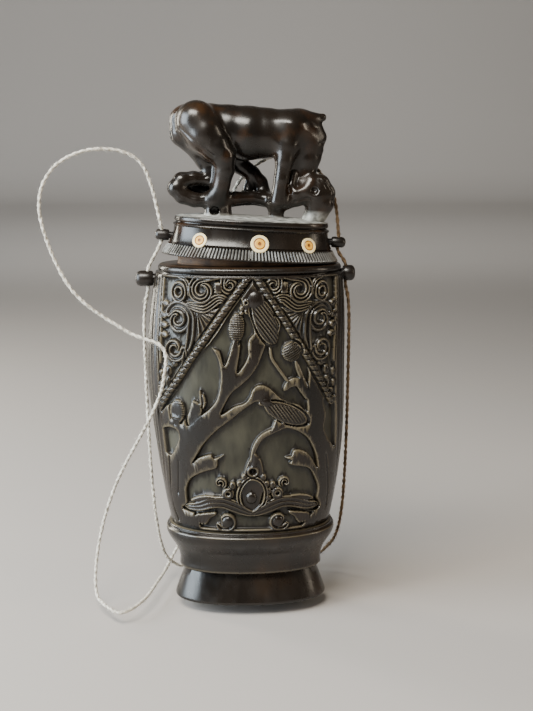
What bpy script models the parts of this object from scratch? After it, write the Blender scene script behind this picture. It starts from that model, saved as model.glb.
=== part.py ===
"""A carved horn flask with a lid that lifts off, at its real size.

The flask is a flattened length of buffalo horn with carved panels on its front and back. A flared
plug of horn closes its lower end, and a cap with a monkey on a bent branch closes its mouth. Four
pegged lugs carry one closed loop of twine. The carver's sizes below are in millimetres, the scene is
in metres, +Z is up, the front looks along -Y, and the origin is the middle of the foot's underside.
"""
import math

import bmesh
import bpy
import numpy as np
from mathutils import Matrix, Vector

MM = 0.001
TOUCH_GAP = 0.3           # kept between two pieces that touch
SQUARENESS = 2.25         # of every oval section: 2 is an ellipse
AROUND = 36               # sides of an oval outside
AROUND_INSIDE = 24        # and of the plain walls within

# Body: heights above the table, and half sizes across and in depth
SKIRT_BOTTOM = 9.9
DRUM_BOTTOM = 24.0
BELLY_HEIGHT = 75.0
DRUM_TOP = 101.9
RIM_TOP = 104.2
WAIST_HALF = (24.6, 15.9)
BELLY_HALF = (29.95, 19.2)
SHOULDER_HALF = (27.9, 17.4)
SKIRT_HALF = (21.9, 11.4)
LEDGE_SPREAD = (4.2, 5.2)     # how far the ledge stands out over the skirt
BELLY_LEAN = 1.2              # the horn's bow, to the left
BELLY_LEAN_REACH = 20.0
WALL = 3.2

# Rim bead, collar and mouth, as insets from the shoulder
BEAD_INSET = 0.5
COLLAR_INSET = 6.5
COLLAR_HEIGHT = 4.0
COLLAR_WALL = 2.2

# Foot plug
FOOT_HALF = (23.6, 12.4)
FOOT_NECK_HALF = (20.6, 9.9)
PLUG_HALF = (17.3, 6.8)
PLUG_TOP = 21.7

# Carved panels, as distances round the body from its front or back line
CARVING_DEPTH = 1.5
CARVING_SLOPE = 1.0           # how wide each raised form's sloping side is
PANEL_HALF = 28.4
PANEL_TOP = 101.2
PANEL_SHIFT = 0.5             # the carver's middle, right of the true one
CARVING_GRID = 0.75
DRUM_TRIANGLES = 3500

# Lid: its lower edge's width past the hollow, and its heights over that edge
LID_EDGE = (4.1, 4.2)
LID_CLEARANCE = 0.9           # between the collar and the hollow over it
LID_HOLLOW = 7.6
LID_TILT = math.radians(3.2)  # not pressed home: its left side stands up
RIB_BAND = 3.4
CAVETTO_TOP = 8.4
PLATE_TOP = 11.5
MOUND = 2.6
FIGURE_VOXEL = 0.55
FIGURE_TRIANGLES = 1700

# Inlays, lugs and twine
INLAY_RADIUS = 2.6
INLAY_DEPTH = 1.0
INLAY_PROUD = 0.15
INLAY_HEIGHT = 4.6
INLAY_MIDDLE = 2.0
INLAY_ENDS = {"left": 11.2, "right": 10.0}        # insets from the lid's edge
LUG_HOLE_RADIUS = 0.9
LUG_TENON = 0.6               # the tenon's share of its lug's radius
LID_LUG_RADIUS = 1.7
LID_LUG_HEIGHTS = {"left": 5.3, "right": 5.7}
LID_LUG_ROOT = 4.0            # how far inside the lid's edge the socket ends
LID_LUG_PROUD = 2.1           # how far past that edge the lug reaches
BODY_LUG_RADIUS = 2.4
BODY_LUG_DROPS = {"left": 2.2, "right": 0.9}      # of each lug's middle, under the drum's top
BODY_LUG_ROOTS = {"left": 0.5, "right": 1.5}      # insets of the socket's end from the shoulder
BODY_LUG_PROUD = {"left": 6.3, "right": 3.9}      # how far past the shoulder the lug reaches
BODY_LUG_HOLES = {"left": 2.5, "right": 1.0}
LID_LUG_HOLES = {"left": 0.3, "right": -0.1}
TWINE_DIAMETER = 1.1
TWINE_SEGMENT = 9.4
TWINE_LOWEST = 0.62           # height of its middle where it lies on the table
KNOT_PLACE = (0.0, 25.0, 1.0)
KNOT_HALF = (1.5, 1.2, 0.95)

HORN = ((0.016, 0.014, 0.012), 0.22)
HORN_FOOT = ((0.020, 0.018, 0.016), 0.3)
BONE = ((0.80, 0.66, 0.40), 0.45)
TWINE_FIBRE = ((0.62, 0.58, 0.48), 0.9)


def fresh_scene():
    """Empties the scene and makes the two collections."""
    for old in list(bpy.data.objects):
        bpy.data.objects.remove(old, do_unlink=True)
    made = []
    for name in ("horn_flask", "cutters"):
        collection = bpy.data.collections.new(name)
        bpy.context.scene.collection.children.link(collection)
        made.append(collection)
    return made


PARTS, CUTTERS = fresh_scene()


def finish(name, look):
    """One named material with a colour and a roughness."""
    colour, roughness = look
    made = bpy.data.materials.new(name)
    made.use_nodes = True
    shader = made.node_tree.nodes["Principled BSDF"]
    shader.inputs["Base Color"].default_value = (*colour, 1.0)
    shader.inputs["Roughness"].default_value = roughness
    shader.inputs["Metallic"].default_value = 0.0
    return made


def as_object(name, mesh, collection=PARTS, material=None):
    """Puts a mesh in the scene, as a part or as a cutter."""
    made = bpy.data.objects.new(name, mesh)
    collection.objects.link(made)
    if collection is CUTTERS:
        made.hide_render = True
        made.display_type = "WIRE"
    if material:
        mesh.materials.clear()
        mesh.materials.append(material)
        mesh.shade_smooth()
        mesh.set_sharp_from_angle(angle=math.radians(35))
    return made


def evaluated(scene_object):
    """The mesh that the object's modifiers give, in its own frame."""
    graph = bpy.context.evaluated_depsgraph_get()
    return bpy.data.meshes.new_from_object(scene_object.evaluated_get(graph), depsgraph=graph)


def combined(base, other, operation):
    """Joins or cuts base with other, which is used up, and keeps the result as base's mesh."""
    step = base.modifiers.new("join or cut", "BOOLEAN")
    step.solver = "MANIFOLD"
    step.operation = operation
    step.object = other
    result = evaluated(base)
    base.modifiers.remove(step)
    base.data = result
    bpy.data.objects.remove(other, do_unlink=True)


# Oval sections and lofts
def oval(half, count=AROUND, fractions=None):
    """Points round a flattened oval, evenly spaced, from the back line over the left side."""
    angle = np.linspace(-math.pi, math.pi, 1441)
    across, along = np.sin(angle), -np.cos(angle)
    x = half[0] * np.sign(across) * np.abs(across) ** (2 / SQUARENESS)
    y = half[1] * np.sign(along) * np.abs(along) ** (2 / SQUARENESS)
    walked = np.concatenate([[0.0], np.cumsum(np.hypot(np.diff(x), np.diff(y)))])
    if fractions is None:
        fractions = np.arange(count) / count
    where = fractions * walked[-1]
    return np.interp(where, walked, x), np.interp(where, walked, y), walked[-1]


def rows_from(sections, count=AROUND):
    """Rows of points from sections of height, half size and sideways shift."""
    rows = []
    for height, half, shift in sections:
        x, y, _ = oval(half, count)
        rows.append(np.column_stack([x + shift, y, np.full(len(x), height)]))
    return rows


def lofted(name, rows, collection=CUTTERS, material=None):
    """A closed solid through rows of points, capped at both ends."""
    shape = bmesh.new()
    loops = [[shape.verts.new(Vector(point) * MM) for point in row] for row in rows]
    for low, high in zip(loops, loops[1:]):
        for i in range(len(low)):
            k = (i + 1) % len(low)
            shape.faces.new((low[i], low[k], high[k], high[i]))
    shape.faces.new(list(reversed(loops[0])))
    shape.faces.new(loops[-1])
    bmesh.ops.triangulate(shape, faces=[f for f in shape.faces if len(f.verts) > 4])
    mesh = bpy.data.meshes.new(name)
    shape.to_mesh(mesh)
    shape.free()
    return as_object(name, mesh, collection, material)


def cylinder(name, radius, start, end, sides=20):
    """A round cutter or peg between two points."""
    start, end = Vector(start) * MM, Vector(end) * MM
    shape = bmesh.new()
    bmesh.ops.create_cone(shape, cap_ends=True, segments=sides, radius1=radius * MM, radius2=radius * MM,
                          depth=(end - start).length)
    turn = (end - start).to_track_quat("Z", "Y").to_matrix().to_4x4()
    bmesh.ops.transform(shape, matrix=Matrix.Translation((start + end) / 2) @ turn, verts=shape.verts)
    mesh = bpy.data.meshes.new(name)
    shape.to_mesh(mesh)
    shape.free()
    return as_object(name, mesh, CUTTERS)


def inset(half, amount):
    """An oval's half sizes, smaller by the same amount all round."""
    return half[0] - amount, half[1] - amount


def body_half(height):
    """Half sizes of the uncarved body at a height: a barrel, fuller above its waist."""
    end, reach = (SHOULDER_HALF, DRUM_TOP - BELLY_HEIGHT) if height > BELLY_HEIGHT else (
        WAIST_HALF, BELLY_HEIGHT - DRUM_BOTTOM)
    fall = ((height - BELLY_HEIGHT) / reach) ** 2
    return tuple(belly - (belly - low) * fall for belly, low in zip(BELLY_HALF, end))


def body_lean(height):
    """How far the bowed horn stands to the side at a height."""
    return -BELLY_LEAN * math.exp(-((height - BELLY_HEIGHT) / BELLY_LEAN_REACH) ** 2)


# The carver's strokes: each is a line of places and half widths on the unrolled body
def volute(middle, radius, turns, hand, start, width):
    """A spiral stroke from its rim to its eye."""
    points = []
    steps = max(8, round(turns * 12))
    for i in range(steps + 1):
        part = i / steps
        angle = start + hand * part * turns * 2 * math.pi
        reach = radius * (1 - 0.88 * part)
        points.append((middle[0] + reach * math.cos(angle), middle[1] + reach * math.sin(angle), width))
    return points


def stroke_height(u, z, points, height, edge):
    """Height of one raised stroke with sloping sides, over a grid of places."""
    away = np.full(u.shape, 1e3)
    pairs = list(zip(points, points[1:])) or [(points[0], points[0])]
    for (u0, z0, w0), (u1, z1, w1) in pairs:
        du, dz = u1 - u0, z1 - z0
        length = du * du + dz * dz
        part = np.clip(((u - u0) * du + (z - z0) * dz) / length, 0, 1) if length else 0.0
        distance = np.hypot(u - u0 - part * du, z - z0 - part * dz)
        away = np.minimum(away, distance - (w0 + part * (w1 - w0)))
    return height * np.clip(0.5 - away / edge, 0, 1)


def placed(strokes, side=1):
    """Strokes drawn for the right half, set on a side of the carver's middle."""
    return [[(side * u + PANEL_SHIFT, z, w) for u, z, w in stroke] for stroke in strokes]


def spandrel(side):
    """The rope up to the panel's top, with the disc, scrolls and leaf in the corner over it."""
    return placed([
        [(1.0, 102.0, 1.0), (9.5, 89.7, 1.0), (17.8, 77.7, 1.0), (28.0, 63.2, 0.9)],
        [(22.5, 97.3, 2.8)],
        volute((16.0, 98.0), 3.0, 1.0, -1, 2.2, 0.8),
        volute((22.4, 89.8), 3.2, 1.0, -1, 0.6, 0.8),
        volute((22.8, 81.0), 3.0, 1.0, 1, 2.6, 0.8),
        [(24.4, 75.0, 1.6), (25.4, 69.0, 1.2)],
    ], side)


def corner_curls(side):
    """The finer curls and the wavy band beside the rope."""
    return placed([
        [(17.8, 101.0, 0.6), (8.2, 101.2, 0.5)],
        [(10.8, 98.6, 1.1)],
        volute((6.9, 98.8), 1.6, 0.8, 1, 0.4, 0.6),
        [(19.4, 94.8, 1.0), (15.9, 93.4, 1.1), (12.8, 94.0, 1.1), (10.0, 95.6, 1.0), (7.6, 95.2, 0.7)],
        [(18.8, 91.6, 0.6), (17.6, 87.6, 0.8), (18.6, 84.0, 0.8)],
        [(14.6, 90.4, 0.6), (15.4, 86.4, 1.0)],
        [(26.8, 95.0, 0.5), (26.9, 79.0, 0.7)],
    ], side)


def tree(side):
    """One trunk at the panel's side, with the bud at its window and its forks."""
    return placed([
        [(21.6, 24.0, 5.0), (23.2, 34.0, 2.4), (22.6, 46.0, 2.3), (19.0, 55.0, 3.0)],
        [(19.0, 55.0, 3.0), (25.4, 58.6, 0.5)],
        [(21.4, 62.0, 2.3)],
        [(16.2, 62.4, 1.6), (15.6, 59.6, 0.9)],
        [(17.6, 46.6, 1.4), (13.4, 47.8, 1.6), (9.6, 49.2, 0.5)],
        [(20.0, 36.0, 0.6), (19.4, 41.0, 0.6), (16.6, 43.6, 0.6), (11.4, 45.2, 0.5)],
    ], side)


def jewel():
    """The drop-shaped jewel, its curls, the winged band and the scrolls under it."""
    strokes = placed([[(0.0, 36.2, 3.6), (0.2, 41.5, 1.7), (1.0, 49.0, 0.4)]])
    for side in (-1, 1):
        strokes += placed([
            [(18.6, 31.8, 0.6), (14.4, 34.4, 1.1), (9.4, 34.5, 1.1), (4.2, 32.2, 1.1), (0.0, 30.8, 1.0)],
            [(7.6, 38.2, 2.0), (9.2, 42.0, 1.0)],
            [(8.4, 27.6, 2.3)],
            [(11.6, 27.0, 1.0), (16.2, 28.2, 0.6)],
        ], side)
    return strokes


def birds_and_branches():
    """What only the front has: two birds, three cones and the branches that carry them."""
    return [
        [(-18.0, 54.4, 2.4), (-13.2, 59.6, 2.4), (-8.6, 64.4, 2.1), (-5.6, 70.6, 1.7), (-4.8, 77.0, 1.2),
         (-4.0, 84.0, 0.9)],
        [(-8.6, 64.4, 1.8), (-4.2, 66.6, 1.4), (-0.4, 71.0, 1.4), (0.6, 76.4, 1.0), (1.8, 81.6, 1.7)],
        [(-4.0, 88.4, 2.0), (-4.0, 84.6, 1.5)],
        [(13.0, 80.4, 2.6)],
        [(6.0, 82.0, 0.9), (7.8, 76.6, 0.9), (10.6, 71.6, 1.2), (12.4, 69.0, 1.7)],
        [(13.8, 77.2, 0.5), (16.6, 71.2, 0.7), (18.2, 65.0, 0.9), (18.4, 57.0, 1.6)],
        [(-1.4, 93.8, 0.9), (0.8, 96.2, 1.4), (3.4, 91.6, 2.6), (5.6, 86.6, 3.0), (7.6, 82.6, 1.4)],
        [(4.6, 65.6, 1.2), (8.4, 64.2, 1.8), (12.4, 61.4, 2.4), (16.8, 57.0, 0.7)],
        [(9.2, 61.8, 0.5), (7.4, 58.8, 0.4)],
        [(-0.4, 46.0, 0.5), (1.6, 51.6, 0.6), (5.0, 55.2, 0.7), (9.0, 56.8, 0.9), (13.4, 58.0, 1.2),
         (17.2, 55.2, 1.3), (19.6, 49.6, 1.1), (21.0, 44.0, 1.0)],
    ]


def back_branch(side):
    """The plainer branch and bud of the back."""
    return placed([
        [(18.0, 54.4, 2.4), (10.0, 62.0, 2.2), (5.4, 71.0, 1.6), (4.2, 80.0, 1.1), (4.0, 86.6, 1.9)],
    ], side)


BOTH_CARVING = jewel()
for half_side in (-1, 1):
    BOTH_CARVING += spandrel(half_side) + tree(half_side)
FRONT_CARVING = BOTH_CARVING + corner_curls(-1) + corner_curls(1) + birds_and_branches()
BACK_CARVING = BOTH_CARVING + back_branch(-1) + back_branch(1)


def carved_height(u, z, strokes):
    """Relief of one panel over its sunk ground."""
    ground = np.zeros(u.shape)
    for stroke in strokes:
        ground = np.maximum(ground, stroke_height(u, z, stroke, CARVING_DEPTH, CARVING_SLOPE))
    return ground


def panel_sink(u, z):
    """How deep the panel's ground is cut at a place: nothing outside its frame."""
    frame = PANEL_HALF - 0.0022 * (z - 62.0) ** 2 * (z < 62.0)
    inside = np.minimum(frame - np.abs(u), PANEL_TOP - z)
    return CARVING_DEPTH * np.clip(inside / 0.8, 0, 1)


def carved_drum():
    """The body's carved barrel as a closed solid, thinned to few triangles."""
    up = math.ceil((DRUM_TOP - DRUM_BOTTOM) / CARVING_GRID)
    full = oval(BELLY_HALF)[2]
    count = 2 * round(full / CARVING_GRID / 2)
    fractions = np.arange(count) / count
    rows = []
    for height in np.linspace(DRUM_BOTTOM, DRUM_TOP, up + 1):
        x, y, length = oval(body_half(height), fractions=fractions)
        round_front = (fractions - 0.5) * length
        round_back = np.where(round_front > 0, round_front - length / 2, round_front + length / 2)
        z = np.full(count, height)
        cut = np.zeros(count)
        for u, strokes, half_turn in ((round_front, FRONT_CARVING, -1), (round_back, BACK_CARVING, 1)):
            facing = half_turn * y > 0
            sunk = panel_sink(u, z) - carved_height(u, z, strokes)
            cut = np.where(facing, np.maximum(sunk, 0.0), cut)
        tangent = np.column_stack([np.roll(x, -1) - np.roll(x, 1), np.roll(y, -1) - np.roll(y, 1)])
        tangent /= np.linalg.norm(tangent, axis=1)[:, None]
        rows.append(np.column_stack([x - tangent[:, 1] * cut + body_lean(height), y + tangent[:, 0] * cut, z]))
    drum = lofted("carved drum", rows)
    thin = drum.modifiers.new("thin", "DECIMATE")
    thin.ratio = DRUM_TRIANGLES / (2 * count * up)
    drum.data = evaluated(drum)
    drum.modifiers.clear()
    return drum


def rim_and_collar():
    """The bead round the mouth and the collar that the lid sits over."""
    bead = inset(SHOULDER_HALF, BEAD_INSET)
    collar = inset(SHOULDER_HALF, COLLAR_INSET)
    bead_height = RIM_TOP - DRUM_TOP
    lean = body_lean(DRUM_TOP)
    sections = [
        (DRUM_TOP - 1.5, inset(bead, 1.4), lean),
        (DRUM_TOP + 0.1 * bead_height, inset(bead, 0.7), 0.0),
        (DRUM_TOP + 0.3 * bead_height, bead, 0.0),
        (DRUM_TOP + 0.75 * bead_height, bead, 0.0),
        (RIM_TOP, inset(bead, 0.5), 0.0),
        (RIM_TOP, collar, 0.0),
        (RIM_TOP + COLLAR_HEIGHT, collar, 0.0),
    ]
    return lofted("rim", rows_from(sections))


def ledge_and_skirt():
    """The rounded ledge under the panel and the skirt below it."""
    spread = [(0.0, -1.0, 0.0), (0.07, 0.0, 0.0), (0.34, 0.0, 0.13), (0.5, 0.0, 0.54), (0.64, 0.0, 0.88),
              (0.78, 0.0, 1.0), (0.9, 0.0, 0.96), (0.965, 0.0, 0.7), (1.06, 0.0, 0.1)]
    sections = []
    for share, extra, ledge in spread:
        half = tuple(skirt + extra + ledge * out for skirt, out in zip(SKIRT_HALF, LEDGE_SPREAD))
        sections.append((SKIRT_BOTTOM + share * (DRUM_BOTTOM - SKIRT_BOTTOM), half, 0.0))
    return lofted("ledge", rows_from(sections))


def cavity():
    """The flask's inside, from the plug's socket to the mouth."""
    mouth = inset(SHOULDER_HALF, COLLAR_INSET + COLLAR_WALL)
    socket = inset(PLUG_HALF, -TOUCH_GAP)
    sections = [(SKIRT_BOTTOM - 2.0, socket, 0.0), (PLUG_TOP - 0.5, socket, 0.0)]
    heights = [DRUM_BOTTOM + share * (BELLY_HEIGHT - DRUM_BOTTOM) for share in (0.08, 0.35, 0.67, 1.0)]
    heights.append(BELLY_HEIGHT + 0.63 * (DRUM_TOP - BELLY_HEIGHT))
    for height in heights:
        sections.append((height, inset(body_half(height), WALL), body_lean(height)))
    sections.append((DRUM_TOP - 0.5, mouth, 0.0))
    sections.append((RIM_TOP + COLLAR_HEIGHT + 2.0, mouth, 0.0))
    return lofted("cavity", rows_from(sections, AROUND_INSIDE))


def lid_point(x, y, height):
    """A place on the tilted lid, in the flask's own millimetres."""
    seat = Vector((LID_HALF[0], 0.0, RIM_TOP + TOUCH_GAP))
    turned = Matrix.Rotation(LID_TILT, 3, "Y") @ Vector((x - seat.x, y, height))
    return seat + turned


LID_HOLLOW_HALF = inset(SHOULDER_HALF, COLLAR_INSET - LID_CLEARANCE)
LID_HALF = tuple(hollow + edge for hollow, edge in zip(LID_HOLLOW_HALF, LID_EDGE))
INLAYS = {
    "left": INLAY_ENDS["left"] - LID_HALF[0],
    "middle": INLAY_MIDDLE,
    "right": LID_HALF[0] - INLAY_ENDS["right"],
}


def lug_places(side, edge, root, proud, hole, height):
    """Where a lug's socket ends, its tip, its hole and its middle's height, from the edge it stands in."""
    outward = -1 if side == "left" else 1
    return dict(root=outward * (edge - root), tip=outward * (edge + proud), hole=outward * (edge + hole),
                height=height)


BODY_LUGS = {side: lug_places(side, SHOULDER_HALF[0], BODY_LUG_ROOTS[side], BODY_LUG_PROUD[side],
                              BODY_LUG_HOLES[side], DRUM_TOP - BODY_LUG_DROPS[side])
             for side in ("left", "right")}
LID_LUGS = {side: lug_places(side, LID_HALF[0], LID_LUG_ROOT, LID_LUG_PROUD, LID_LUG_HOLES[side],
                             LID_LUG_HEIGHTS[side])
            for side in ("left", "right")}


def make_body(horn):
    """The flask itself."""
    body = carved_drum()
    combined(body, rim_and_collar(), "UNION")
    combined(body, ledge_and_skirt(), "UNION")
    combined(body, cavity(), "DIFFERENCE")
    for lug in BODY_LUGS.values():
        outward = math.copysign(10.0, lug["tip"])
        socket = cylinder("socket", BODY_LUG_RADIUS * LUG_TENON + TOUCH_GAP,
                          (lug["root"] - 0.03 * outward, 0, lug["height"]),
                          (lug["root"] + outward, 0, lug["height"]))
        combined(body, socket, "DIFFERENCE")
    mesh = body.data
    bpy.data.objects.remove(body, do_unlink=True)
    return as_object("body", mesh, PARTS, horn)


def make_foot(horn):
    """The flared plug that closes the lower end."""
    top = SKIRT_BOTTOM - TOUCH_GAP
    sections = [
        (0.0, inset(FOOT_HALF, 0.5), 0.0),
        (0.6, FOOT_HALF, 0.0),
        (0.3 * top, inset(FOOT_HALF, 0.6), 0.0),
        (0.65 * top, inset(FOOT_NECK_HALF, -0.9), 0.0),
        (top, FOOT_NECK_HALF, 0.0),
        (top, PLUG_HALF, 0.0),
        (PLUG_TOP, PLUG_HALF, 0.0),
    ]
    return lofted("foot", rows_from(sections), PARTS, horn)


# The animal and its branch: balls strung along each limb, as place and radius over the lid's edge
TORSO = [(-20.4, 0.0, 37.4, 5.0), (-16.0, 0.0, 38.0, 6.2), (-9.0, 0.0, 36.8, 6.8), (-3.0, 0.0, 36.2, 7.6),
         (4.0, 0.0, 36.4, 7.0), (9.0, 0.0, 37.4, 6.0), (13.4, 0.0, 38.2, 5.2)]
HEAD = [(13.4, 0.0, 38.4, 5.0), (16.2, 0.0, 36.6, 4.2), (16.6, 0.0, 32.6, 3.5), (15.8, 0.0, 27.6, 2.7),
        (15.2, 0.0, 24.0, 2.4)]
FACE = [(17.6, 0.0, 42.0, 1.7), (18.4, 0.0, 37.0, 2.5), (18.0, 0.0, 33.4, 2.2)]
NEAR_THIGH = [(-18.0, -4.6, 38.4, 4.6), (-13.4, -5.4, 34.4, 4.4), (-9.6, -5.6, 30.6, 3.2),
              (-8.0, -5.4, 28.6, 2.5)]
NEAR_SHIN = [(-8.0, -5.4, 28.6, 2.7), (-8.4, -5.2, 24.0, 2.3), (-9.4, -4.6, 18.2, 2.2), (-8.0, -4.4, 16.8, 1.9)]
FAR_THIGH = [(-14.0, 4.6, 37.6, 4.4), (-8.4, 5.4, 32.0, 3.8), (-3.0, 5.4, 27.6, 2.4)]
FAR_SHIN = [(-3.0, 5.4, 27.6, 2.2), (0.6, 5.0, 24.2, 1.9), (2.2, 4.4, 19.6, 1.6), (2.4, 4.0, 17.0, 1.9)]
NEAR_ARM = [(9.8, -4.4, 36.6, 3.8), (8.8, -4.8, 31.0, 2.3), (8.7, -4.6, 24.0, 1.9), (8.2, -4.2, 17.2, 1.9)]
FAR_ARM = [(11.4, 4.4, 36.2, 3.8), (12.8, 4.8, 30.0, 2.4), (13.6, 4.4, 24.0, 2.1), (12.4, 3.8, 19.0, 2.0)]
TAIL = [(-16.8, 0.6, 31.0, 2.6), (-13.6, 0.8, 27.0, 1.5), (-13.6, 0.2, 24.4, 1.4), (-16.4, -1.0, 22.9, 1.3),
        (-20.8, -2.2, 22.8, 1.4), (-23.4, -2.8, 20.4, 1.5), (-21.4, -3.2, 17.4, 1.5), (-16.4, -3.0, 15.7, 1.5),
        (-10.6, -2.6, 15.2, 1.7)]
BRANCH = [(-12.6, -1.0, 15.1, 1.6), (-5.2, 0.0, 16.0, 1.5), (0.0, 0.6, 16.5, 1.5), (4.6, 0.4, 16.3, 1.6),
          (8.4, -0.6, 16.4, 1.8), (12.6, -1.4, 18.2, 1.7), (16.6, -1.8, 20.6, 2.4)]
SERPENT_HEAD = [(16.8, -2.0, 21.4, 3.0), (20.4, -1.8, 21.0, 3.0), (21.4, -1.4, 17.6, 2.4),
                (19.6, -1.0, 13.6, 1.9), (18.6, -0.8, 11.4, 2.2)]
POSTS = [[(-8.6, 0.0, 15.4, 2.2), (-8.8, 0.0, 10.4, 2.9)], [(6.8, 0.0, 16.0, 1.7), (7.2, 0.0, 10.6, 2.3)],
         [(-12.4, 0.0, 14.2, 1.2), (-11.6, 0.0, 10.4, 1.6)]]
LIMBS = [TORSO, HEAD, FACE, NEAR_THIGH, NEAR_SHIN, FAR_THIGH, FAR_SHIN, NEAR_ARM, FAR_ARM, TAIL, BRANCH,
         SERPENT_HEAD] + POSTS
TORSO_FLATNESS = 0.92
POST_HOLE = (-11.0, 12.3, 1.3)


def swept_balls(shape, limb, flatness=1.0):
    """Adds the hulls of each two neighbouring balls of a limb."""
    for pair in zip(limb, limb[1:]):
        cell = bmesh.new()
        for x, y, z, radius in pair:
            size = Matrix.Diagonal((radius * MM, radius * flatness * MM, radius * MM, 1.0))
            bmesh.ops.create_icosphere(cell, subdivisions=3, radius=1.0,
                                       matrix=Matrix.Translation(Vector((x, y, z)) * MM) @ size)
        bmesh.ops.delete(cell, geom=cell.edges[:], context="EDGES_FACES")
        hull = bmesh.ops.convex_hull(cell, input=cell.verts)
        inner = [v for v in hull["geom_interior"] if isinstance(v, bmesh.types.BMVert)]
        bmesh.ops.delete(cell, geom=inner, context="VERTS")
        bmesh.ops.recalc_face_normals(cell, faces=cell.faces)
        mesh = bpy.data.meshes.new("hull")
        cell.to_mesh(mesh)
        cell.free()
        shape.from_mesh(mesh)
        bpy.data.meshes.remove(mesh)


def carved_figure():
    """The monkey, its branch and the serpent's head as one form."""
    shape = bmesh.new()
    for limb in LIMBS:
        swept_balls(shape, limb, TORSO_FLATNESS if limb is TORSO else 1.0)
    mesh = bpy.data.meshes.new("figure")
    shape.to_mesh(mesh)
    shape.free()
    figure = as_object("figure", mesh, CUTTERS)
    skin = figure.modifiers.new("one skin", "REMESH")
    skin.mode = "VOXEL"
    skin.voxel_size = FIGURE_VOXEL * MM
    smooth = figure.modifiers.new("smooth", "SMOOTH")
    smooth.factor = 0.5
    smooth.iterations = 3
    figure.data = evaluated(figure)
    figure.modifiers.clear()
    figure.data.materials.clear()
    thin = figure.modifiers.new("thin", "DECIMATE")
    thin.ratio = min(1.0, FIGURE_TRIANGLES / (2 * len(figure.data.polygons)))
    figure.data = evaluated(figure)
    figure.modifiers.clear()
    return figure


def lid_half(height):
    """Half sizes of the lid's hollowed side at a height over its lower edge."""
    rib_top = inset(LID_HALF, 2.0)
    narrow = inset(LID_HALF, 3.5)
    share = (height - RIB_BAND) / (CAVETTO_TOP - RIB_BAND)
    return tuple(wide - (wide - small) * (1 - (1 - share) ** 2) for wide, small in zip(rib_top, narrow))


def lid_cap():
    """The cap: its hollow, ribbed band, cavetto, double moulding, plate and low mound."""
    edge = lid_half(CAVETTO_TOP)
    plate = inset(edge, 0.5)
    sections = [
        (LID_HOLLOW, inset(LID_HOLLOW_HALF, 2.3), 0.0),
        (0.56 * LID_HOLLOW, inset(LID_HOLLOW_HALF, 0.4), 0.0),
        (0.0, LID_HOLLOW_HALF, 0.0),
        (0.0, LID_HALF, 0.0),
        (RIB_BAND, inset(LID_HALF, 2.0), 0.0),
        (RIB_BAND + 0.1, inset(LID_HALF, 2.3), 0.0),
    ]
    cavetto_middle = (RIB_BAND + CAVETTO_TOP) / 2
    sections += [
        (cavetto_middle, lid_half(cavetto_middle), 0.0),
        (CAVETTO_TOP, inset(edge, -0.3), 0.0),
        (CAVETTO_TOP + 1.1, inset(edge, 0.6), 0.0),
        (CAVETTO_TOP + 1.5, inset(edge, 0.1), 0.0),
        (PLATE_TOP, inset(plate, 0.2), 0.0),
        (PLATE_TOP + 0.45 * MOUND, inset(plate, 5.0), 0.0),
        (PLATE_TOP + MOUND, inset(plate, 10.0), 0.0),
    ]
    return lofted("cap", rows_from(sections))


def inlay_frame(across, face):
    """Place and outward direction of an inlay, set across as someone facing that side sees it."""
    across = -face * across
    low, high = lid_half(INLAY_HEIGHT - 1.0), lid_half(INLAY_HEIGHT + 1.0)
    half = lid_half(INLAY_HEIGHT)
    share = abs(across) / half[0]
    depth = half[1] * (1 - share ** SQUARENESS) ** (1 / SQUARENESS)
    slope = math.atan2(low[1] - high[1], 2.0)
    normal = Vector((math.copysign(share ** (SQUARENESS - 1) / half[0], across),
                     face * (depth / half[1]) ** (SQUARENESS - 1) / half[1], 0.0)).normalized()
    normal.z = math.tan(slope)
    return Vector((across, face * depth, INLAY_HEIGHT)), normal.normalized()


def make_lid(horn, seat):
    """The cap and the figure, carved as one piece."""
    lid = lid_cap()
    combined(lid, carved_figure(), "UNION")
    x, height, radius = POST_HOLE
    combined(lid, cylinder("post hole", radius, (x, -8.0, height), (x, 1.5, height), 16), "DIFFERENCE")
    for face in (-1, 1):
        for across in INLAYS.values():
            place, normal = inlay_frame(across, face)
            socket = cylinder("socket", INLAY_RADIUS + TOUCH_GAP, place - normal * (INLAY_DEPTH + TOUCH_GAP),
                              place + normal * 3.0, 16)
            combined(lid, socket, "DIFFERENCE")
    for lug in LID_LUGS.values():
        outward = math.copysign(8.0, lug["tip"])
        socket = cylinder("socket", LID_LUG_RADIUS * LUG_TENON + TOUCH_GAP,
                          (lug["root"] - 0.03 * outward, 0, lug["height"]),
                          (lug["root"] + outward, 0, lug["height"]))
        combined(lid, socket, "DIFFERENCE")
    mesh = lid.data
    bpy.data.objects.remove(lid, do_unlink=True)
    made = as_object("lid", mesh, PARTS, horn)
    made.parent = seat
    return made


def make_inlay(name, across, face, bone, seat):
    """One flat bone disc in its socket."""
    place, normal = inlay_frame(across, face)
    disc = cylinder(name, INLAY_RADIUS, place - normal * INLAY_DEPTH, place + normal * INLAY_PROUD, 14)
    mesh = disc.data
    bpy.data.objects.remove(disc, do_unlink=True)
    made = as_object(name, mesh, PARTS, bone)
    made.parent = seat


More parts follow.
